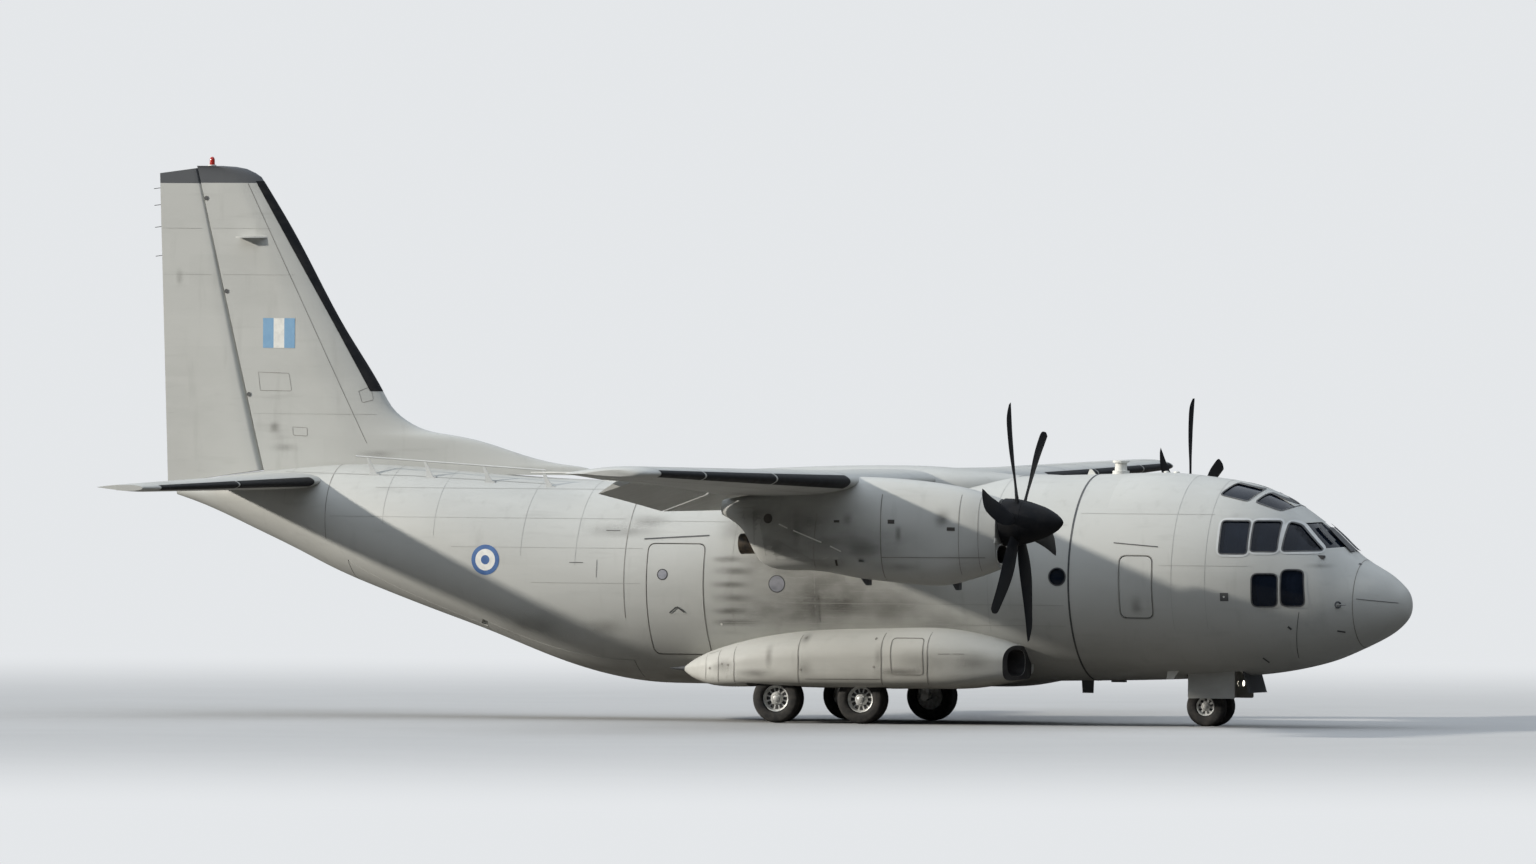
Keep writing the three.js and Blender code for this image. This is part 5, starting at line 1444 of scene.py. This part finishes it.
def hull_marks():
    seams, thick, pads, faint, panes = Bag(), Bag(), Bag(), Bag(), Bag()
    for x in RINGS:
        reach = 1.0 if x < REAR_JOINT else 1.45
        faint.add(arc(hull, x, math.pi / 2 - 2.1 * reach / 1.45, math.pi / 2 + 2.1 * reach / 1.45, 0.007))
    for joint in (TAIL_JOINT, REAR_JOINT):
        seams.add(arc(hull, joint, -0.35, math.pi + 0.35, 0.014, 0.0035))
    turns = np.linspace(0, TURN, 140)
    thick.add(hull.strip(np.column_stack([np.full(140, FRAME_JOINT), turns]), THICK_SEAM, 0.004))
    seams.add(hull.strip(np.column_stack([np.full(140, RADOME_JOINT), turns]), 0.016, 0.003))
    for side in SIDES:
        for x0, x1, z in LENGTHWISE:
            faint.add(band(on_hull, [(x0, z), (x1, z)], 0.008, side))
        for start, end, width in SHORT_LINES:
            thick.add(band(on_hull, [start, end], width, side, 0.006))
        faint.add(band(on_hull, [(-8.9, 4.2), (-6.4, 4.15), (-3.9, 4.03)], 0.01, side, 0.004))
        rim = door_outline(PARA_DOOR, SEAM + 0.004, 0.13)
        seams.add(band(on_hull, rim, 0.009, side, closed=True, step=0.03))
        thick.add(band(on_hull, [(-1.39, 1.855), (-1.25, 1.965), (-1.12, 1.87)], 0.026, side, 0.012))
        pads.add(disc(on_hull, (8.52, 2.228), 0.0, 0.016, side, 0.009))
        pads.add(disc(on_hull, (-0.477, 1.671), 0.0, 0.02, side, 0.009))
        thick.add(patch(on_hull, 8.455, 8.595, 2.155, 2.295, side, 0.004))
        for x, z, radius in PORTHOLES:
            thick.add(disc(on_hull, (x, z), radius - 0.012, radius + 0.01, side, 0.003))
        x, z, radius = PARA_WINDOW
        thick.add(disc(on_hull, (x, z), radius, radius + 0.012, side, 0.003))
        for x, z, radius in (PORTHOLES[0], PARA_WINDOW):
            panes.add(disc(on_hull, (x, z), 0.0, radius - 0.006, side, 0.004))
    for door, side in ((CREW_DOOR, 1), (HATCH, -1)):
        seams.add(band(on_hull, door_outline(door, SEAM + 0.009, 0.13), 0.01, side, closed=True, step=0.03))
    mark(seams, "hull_seams", line_ink)
    mark(faint, "hull_faint_seams", faint_ink)
    mark(thick, "hull_thick_seams", seal_ink)
    mark(panes, "pale_panes", pale_pane)
    mark(pads, "hull_small_lamps", white_ink)


# Lays the smudges of grime and of painted shade as patches that fade at their edges.
def stains_and_shade():
    count = 18
    still, turning = Bag(), Bag()
    surfaces = {"hull": on_hull, "fin": on_fin, "rudder": on_fin, "nacelle": on_nacelle,
                "sponson": on_sponson}
    for name, strong, (x, z, long, high) in [(*key, row) for key, rows in STAINS_AND_SHADE.items() for row in rows]:
        for side in SIDES:
            if side > 0 and CREW_DOOR[0] - 0.4 < x < CREW_DOOR[2] + 0.4:
                continue
            smudge = patch(surfaces[name], x - long, x + long, z - high, z + high, side, 0.0025,
                           count=count)
            (turning if name == "rudder" else still).add(smudge, 0 if strong else 1)
    color = (0.13, 0.125, 0.11)
    looks = [stain_and_shade_look("strong_stain_and_shade", color, 0.46), stain_and_shade_look("weak_stain_and_shade", color, 0.27)]
    for bag, body, name in ((still, "airframe", "soft_stains_and_shade"), (turning, "rudder", "rudder_stains")):
        item = bag.make(name, looks)
        layer = item.data.uv_layers.new(name="spot")
        for k, loop in enumerate(item.data.loops):
            place = loop.vertex_index % (count * count)
            layer.data[k].uv = (place // count / (count - 1), place % count / (count - 1))
        piece(item, body, [])


def stain_and_shade_look(name, color, strength):
    """A smudge that fades out to the edges of its patch."""
    look = Look(name, rough=0.8, specular=0.1)
    where = look.node("TexCoord").outputs["UV"]
    split = look.node("SeparateXYZ")
    look.put(split.inputs[0], where)
    edges = [look.math("MINIMUM", look.step(split.outputs[axis], 0.0, 0.5),
                       look.step(split.outputs[axis], 1.0, 0.5))
             for axis in "XY"]
    fade = look.math("MULTIPLY", *edges)
    cloud = look.step(look.noise((0.5, 0.5, 0.28), 2.0, 0.5), 0.25, 0.75, 0.45, 1.0)
    look.put(look.shader.inputs["Alpha"], look.math("MULTIPLY", look.math("MULTIPLY", fade, cloud),
                                                    strength))
    return look.finish(color)


def window_frames():
    frames, seals = Bag(), Bag()
    for k, (corners, radius) in enumerate(zip(SIDE_WINDOWS, CORNERS)):
        for side in SIDES:
            if k < 3:
                rim = widened(rounded(corners, radius + 0.03), 0.034)
                frames.add(band(on_hull, rim, 0.042, side, 0.006, True, 0.03))
            rim = widened(rounded(corners, radius), 0.006)
            seals.add(band(on_hull, rim, 0.022, side, 0.008, True, 0.03))
    for corners in EYEBROWS:
        for side in SIDES:
            rim = widened(rounded(corners, 0.04), 0.006)
            seals.add(band(on_hull, rim, 0.02, side, 0.006, True, 0.03))
    for side in SIDES:
        for start, end in (((9.93, 3.4), (10.36, 2.99)), ((9.8, 3.44), (10.1, 3.16))):
            seals.add(band(on_hull, [start, end], 0.03, side, 0.035))
    mark(frames, "window_frames", frame_paint)
    mark(seals, "window_seals", seal_ink)


def roundels():
    blues, whites, skies = Bag(), Bag(), Bag()
    for side in SIDES:
        at = (-4.75, 2.73)
        blues.add(disc(on_hull, at, 0.185, 0.26, side, 0.004))
        whites.add(disc(on_hull, at, 0.08, 0.185, side, 0.004))
        blues.add(disc(on_hull, at, 0.0, 0.08, side, 0.004))
        for k, bag in enumerate((skies, whites, skies)):
            x = -9.393 + 0.2 * k
            bag.add(patch(on_fin, x, x + 0.2, 6.337, 6.852, side, 0.004))
    mark(blues, "blue_marks", blue_ink)
    mark(skies, "sky_blue_marks", sky_ink)
    mark(whites, "white_marks", white_ink)


def boots():
    """Black rubber along the leading edges."""
    bag = Bag()
    q = np.linspace(-0.21, 0.18, 15)
    for y0, y1 in ((5.46, 8.72), (8.79, 11.88), (11.95, 13.88)):
        for sign in SIDES:
            bag.add(wing_skin.sheet(spread(y0, y1, 0.25) * sign, q, 0.004))
    q = np.linspace(-0.22, 0.22, 15)
    for y0, y1 in ((0.95, 3.4), (3.45, 5.98)):
        for sign in SIDES:
            bag.add(tail_skin.sheet(spread(y0, y1, 0.25) * sign, q, 0.004))
    rows = []
    for z in spread(5.6, CAP_FROM, 0.12):
        inner = np.interp(z, (5.59, 5.9, 6.66, 9.22), (-7.42, -7.6, -8.05, -9.57))
        lead = float(FIN(z)[0, 1])
        q = math.sqrt(max(0.0, (inner - lead) / (rudder_front(z) + RUDDER_GAP - lead)))
        rows.append(fin_skin.lifted(np.full(17, z), np.linspace(-q, q, 17), 0.004)[0])
    bag.add(grid(rows, around=False))
    mark(bag, "boots", boot)


def fin_marks():
    lines, fittings, rudder_lines, wicks, faint = Bag(), Bag(), Bag(), Bag(), Bag()
    for side in SIDES:
        lines.add(band(on_fin, [(-9.7, 9.18), (-7.45, 4.7)], 0.01, side))
        for outline in ([(-9.479, 5.918), (-8.9, 5.9), (-8.851, 5.594), (-9.44, 5.6)],
                        [(-8.829, 4.972), (-8.56, 4.96), (-8.552, 4.818), (-8.82, 4.83)],
                        [(-7.62, 5.6), (-7.42, 5.68), (-7.36, 5.45), (-7.55, 5.4)]):
            lines.add(band(on_fin, outline, 0.008, side, closed=True, step=0.04))
        for z in (8.4, 7.6, 5.2):
            faint.add(band(on_fin, [(rudder_front(z) + 0.05, z), (float(FIN(z)[0, 1]) - 0.35, z)], 0.006,
                           side))
            rudder_lines.add(band(on_fin, [(rudder_end(z) + 0.03, z), (rudder_front(z) - 0.16, z)], 0.006,
                                  side, 0.002))
        for z in (8.923, 7.314, 5.532):
            fittings.add(disc(on_fin, (rudder_front(z) + 0.055, z), 0.0, 0.038, side, 0.012, 20))
    lines.add(band(on_fin, [(rudder_front(9.24) + 0.02, 9.24), (-9.48, 9.24)], 0.01, 1))
    for z in (9.1, 8.81, 8.43, 7.93):
        wicks.add(tube([(rudder_end(z) + 0.03, 0, z), (rudder_end(z) - 0.12, 0, z - 0.02)], 0.006, 8))
    mark(lines, "fin_lines", line_ink)
    mark(fittings, "fin_fittings", seal_ink)
    mark(faint, "fin_faint_lines", faint_ink)
    mark(rudder_lines, "rudder_lines", faint_ink, "rudder")
    mark(wicks, "rudder_wicks", black_paint_and_shade, "rudder")
    bag = Bag().add(turned([(9.43, 0.0), (9.43, 0.075), (9.5, 0.07), (9.5, 0.0)], (-10.4, 0, 0), (0, 0, 1),
                           24))
    bag.add(turned([(9.501, 0.0), (9.501, 0.045), (9.6, 0.042), (9.63, 0.025), (9.64, 0.0)], (-10.4, 0, 0),
                   (0, 0, 1), 24), 1)
    mark(bag, "beacon", [white_ink, red_glass])
    blade_shape = prism([(-9.26, 0.098), (-9.84, 0.098), (-9.84, 0.33), (-9.65, 0.33)], 8.237, 8.26, "z")
    bag = Bag().add(blade_shape).add(mirror(blade_shape))
    mark(bag, "fin_blade_aerials", white_ink)


def nacelle_marks():
    lines, darks, whites = Bag(), Bag(), Bag()
    for side in SIDES:
        for path, width in (([(2.47, 3.62), (2.37, 2.68)], 0.01), ([(3.61, 3.95), (3.62, 2.5)], 0.018),
                            ([(4.98, 3.95), (4.99, 2.6)], 0.01),
                            ([(3.62, 2.88), (5.42, 2.89)], 0.014), ([(1.75, 3.15), (2.4, 2.8)], 0.008),
                            ([(5.3, 3.95), (5.32, 2.66)], 0.008)):
            lines.add(band(on_nacelle, path, width, side, 0.004))
        for start, end in (((1.777, 3.429), (1.939, 3.356)), ((2.041, 3.322), (2.552, 3.124)),
                           ((2.707, 3.063), (2.9, 2.973))):
            whites.add(band(on_nacelle, [start, end], 0.022, side, 0.006))
        # This flat dark disc stands for a hole in the nacelle: painted shade of its inside.
        darks.add(disc(on_nacelle, (1.574, 3.519), 0.0, 0.082, side, 0.006))
        for x, z, w, h in ((2.829, 3.483, 0.05, 0.02), (2.79, 2.78, 0.02, 0.05), (3.8, 3.485, 0.06, 0.035),
                           (4.853, 3.37, 0.07, 0.03)):
            darks.add(patch(on_nacelle, x - w, x + w, z - h, z + h, side, 0.004))
    mark(lines, "nacelle_lines", line_ink)
    mark(darks, "nacelle_darks", soot_and_shade_ink)
    mark(whites, "nacelle_stripes", white_ink)


def sponson_marks():
    lines = Bag()
    for side in SIDES:
        for x, z0, z1, width in ((-0.66, 0.72, 1.2, 0.008), (-0.4, 0.68, 1.28, 0.012),
                                 (-0.09, 0.66, 1.33, 0.012), (1.12, 0.63, 1.55, 0.014),
                                 (2.62, 0.63, 1.6, 0.016), (3.44, 0.64, 1.58, 0.014)):
            lines.add(band(on_sponson, [(x, z1), (x + 0.03, (z0 + z1) / 2), (x + 0.02, z0)], width, side,
                           0.005))
        outline = rounded([(2.83, 0.85), (3.4, 0.85), (3.37, 1.475), (2.8, 1.475)], 0.07)
        lines.add(band(on_sponson, outline, 0.016, side, 0.005, True, 0.03))
        for path, width in (([(3.65, 1.212), (3.85, 1.214)], 0.01), ([(3.9, 1.216), (4.085, 1.216)], 0.01),
                            ([(1.27, 0.76), (2.62, 0.77)], 0.012), ([(-0.62, 1.16), (-0.42, 1.22)], 0.008)):
            lines.add(band(on_sponson, path, width, side, 0.005))
        for x, z in ((-0.3, 1.0), (-0.18, 0.98), (-0.55, 0.92), (1.22, 1.46), (1.2, 0.92), (2.5, 1.46),
                     (2.52, 0.98)):
            lines.add(disc(on_sponson, (x, z), 0.0, 0.022, side, 0.005, 12))
    mark(lines, "sponson_lines", line_ink)


def wing_marks():
    lines, lamps = Bag(), Bag()
    for sign in SIDES:
        for y in (5.27, 7.0, 8.75, 10.65, 11.92, 13.9):
            for q in (np.linspace(0.2, 0.83, 10), np.linspace(-0.83, -0.22, 10)):
                lines.add(wing_skin.strip(np.column_stack([np.full(10, y * sign), q]), 0.012, 0.003))
        for q in (0.42, -0.42, 0.72, -0.72):
            ys = spread(5.3, 13.85, 0.6) * sign
            lines.add(wing_skin.strip(np.column_stack([ys, np.full(len(ys), q)]), 0.01, 0.003))
        ys = spread(2.0, 4.1, 0.5) * sign
        lines.add(wing_skin.strip(np.column_stack([ys, np.full(len(ys), 0.42)]), 0.01, 0.003))
        y = 14.15 * sign
        lamps.add(turned([(0.0, 0.0), (0.0, 0.055), (0.07, 0.045), (0.12, 0.02), (0.13, 0.0)],
                         (2.3, y, 4.335), (1, 0, 0), 20), 0 if sign < 0 else 1)
    mark(lines, "wing_lines", line_ink)
    mark(lamps, "wing_tip_lamps", [green_glass, red_glass])


def aerials():
    bag = Bag().add(turned([(4.23, 0.0), (4.23, 0.145), (4.34, 0.145), (4.345, 0.105), (4.475, 0.1),
                            (4.48, 0.14), (4.515, 0.143),
                            (4.52, 0.0)], (6.16, 0, 0), (0, 0, 1), 40))
    bag.add(prism([(5.55, 4.24), (5.74, 4.24), (5.64, 4.36), (5.6, 4.36)], -0.012, 0.012, "y"))
    for x in (6.98, 7.16):
        bag.add(turned([(4.27, 0.0), (4.27, 0.06), (4.335, 0.05), (4.345, 0.0)], (x, 0.0, 0), (0, 0, 1),
                       20))
    bag.add(prism([(7.25, 1.0), (7.48, 1.0), (7.34, 0.8), (7.22, 0.8)], -0.7, -0.67, "y"))
    mark(bag, "white_aerials", white_ink)
    bag = Bag().add(prism([(5.48, 0.82), (5.7, 0.82), (5.69, 0.54), (5.5, 0.54)], -0.015, 0.015, "y"))
    bag.add(block((6.03, -0.06, 0.73), (6.27, 0.06, 0.82)))
    for side in SIDES:
        at = Vector(on_hull(np.array([10.348]), np.array([2.105]), side, 0.0)[0])
        out = Vector((0.45, side * 0.89, 0.0)).normalized()
        bag.add(ring([(0.0, 0.035), (0.0, 0.062), (0.012, 0.058), (0.012, 0.038)], at, out, 28))
        bag.add(tube([at, at + out * 0.1, at + out * 0.1 + Vector((0.12, 0, 0))], [0.016, 0.012, 0.01], 12))
    mark(bag, "dark_aerials", dark)
    mast_shape = tube([(1.25, 14.15, 4.33), (0.75, 14.15, 4.33), (0.45, 14.15, 4.33)],
                      [0.016, 0.014, 0.008], 12)
    bag = Bag().add(mast_shape).add(mirror(mast_shape))
    mark(bag, "wing_tip_masts", white_ink)


# Ground and light
GROUND_RADIUS = 150.0
SKY = (0.78, 0.8, 0.82)
FILL_COLOR = (0.72, 0.8, 0.92)
FILL = 0.12  # share of the sky's brightness that lights the plane
SUN_FROM = Vector((-0.85, -0.46, 0.34))  # from behind the tail, to starboard and above, as in the photograph


def add_stage():
    rings = [[(r * math.cos(a), r * math.sin(a), 0.0) for a in full_turn(96)]
             for r in (0.01, 5, 15, 30, 60, 100, GROUND_RADIUS)]
    ground = Bag().add(grid(rings, True, (True, False))).make("ground", [])
    look = Look("ground_look", rough=0.9, specular=0.1)
    seen = look.node("LightPath").outputs["Is Camera Ray"]
    pale_floor = look.mix(look.noise((2.5, 2.5, 2.5), 6.0), (0.37, 0.37, 0.365), (0.41, 0.41, 0.405))
    look.finish(look.mix(seen, (0.17, 0.16, 0.145), pale_floor))
    glow = look.node("Emission")
    glow.inputs["Color"].default_value = (*SKY, 1.0)
    look.put(glow.inputs["Strength"], look.step(seen, 0.0, 1.0, 2 * FILL, 1.0))
    reach = look.node("VectorMath", "LENGTH")
    look.put(reach.inputs[0], look.place)
    both = look.node("MixShader")
    look.put(both.inputs[0], look.step(reach.outputs["Value"], 18.0, 70.0))
    look.put(both.inputs[1], look.shader.outputs[0])
    look.put(both.inputs[2], glow.outputs[0])
    look.put(look.tree.nodes["Material Output"].inputs["Surface"], both.outputs[0])
    ground.data.materials.append(look.material)

    world = bpy.data.worlds.new("studio")
    world.use_nodes = True
    tree = world.node_tree
    back = tree.nodes["Background"]
    seen = tree.nodes.new("ShaderNodeLightPath").outputs["Is Camera Ray"]
    strength = tree.nodes.new("ShaderNodeMapRange")
    tree.links.new(seen, strength.inputs["Value"])
    strength.inputs["To Min"].default_value = FILL
    strength.inputs["To Max"].default_value = 1.0
    tree.links.new(strength.outputs[0], back.inputs["Strength"])
    tint = tree.nodes.new("ShaderNodeMix")
    tint.data_type = "RGBA"
    tree.links.new(seen, tint.inputs[0])
    tint.inputs[6].default_value = (*FILL_COLOR, 1.0)
    tint.inputs[7].default_value = (*SKY, 1.0)
    tree.links.new(tint.outputs[2], back.inputs["Color"])
    bpy.context.scene.world = world

    for name, energy, angle, color, direction in (("key", 4.3, 2, (1.0, 0.95, 0.87), SUN_FROM),
                                                  ("above", 3.1, 120, (0.84, 0.91, 1.0),
                                                   Vector((0, 0, 1)))):
        lamp = bpy.data.objects.new(name, bpy.data.lights.new(name, "SUN"))
        lamp.data.energy = energy
        lamp.data.angle = math.radians(angle)
        lamp.data.color = color
        lamp.rotation_euler = direction.to_track_quat("Z", "Y").to_euler()
        bpy.context.scene.collection.objects.link(lamp)
    bpy.context.scene.view_settings.view_transform = "Standard"


add_camera()
add_stage()
fuselage_front()
fuselage_centre()
fuselage_rear()
wings()
wing_fairing()
fin_and_rudder()
tailplane()
nacelles()
propellers()
sponsons()
wheels()
legs()
inside_parts()
window_glass()
rail_aerial()
hull_marks()
stains_and_shade()
window_frames()
roundels()
boots()
fin_marks()
nacelle_marks()
sponson_marks()
wing_marks()
aerials()
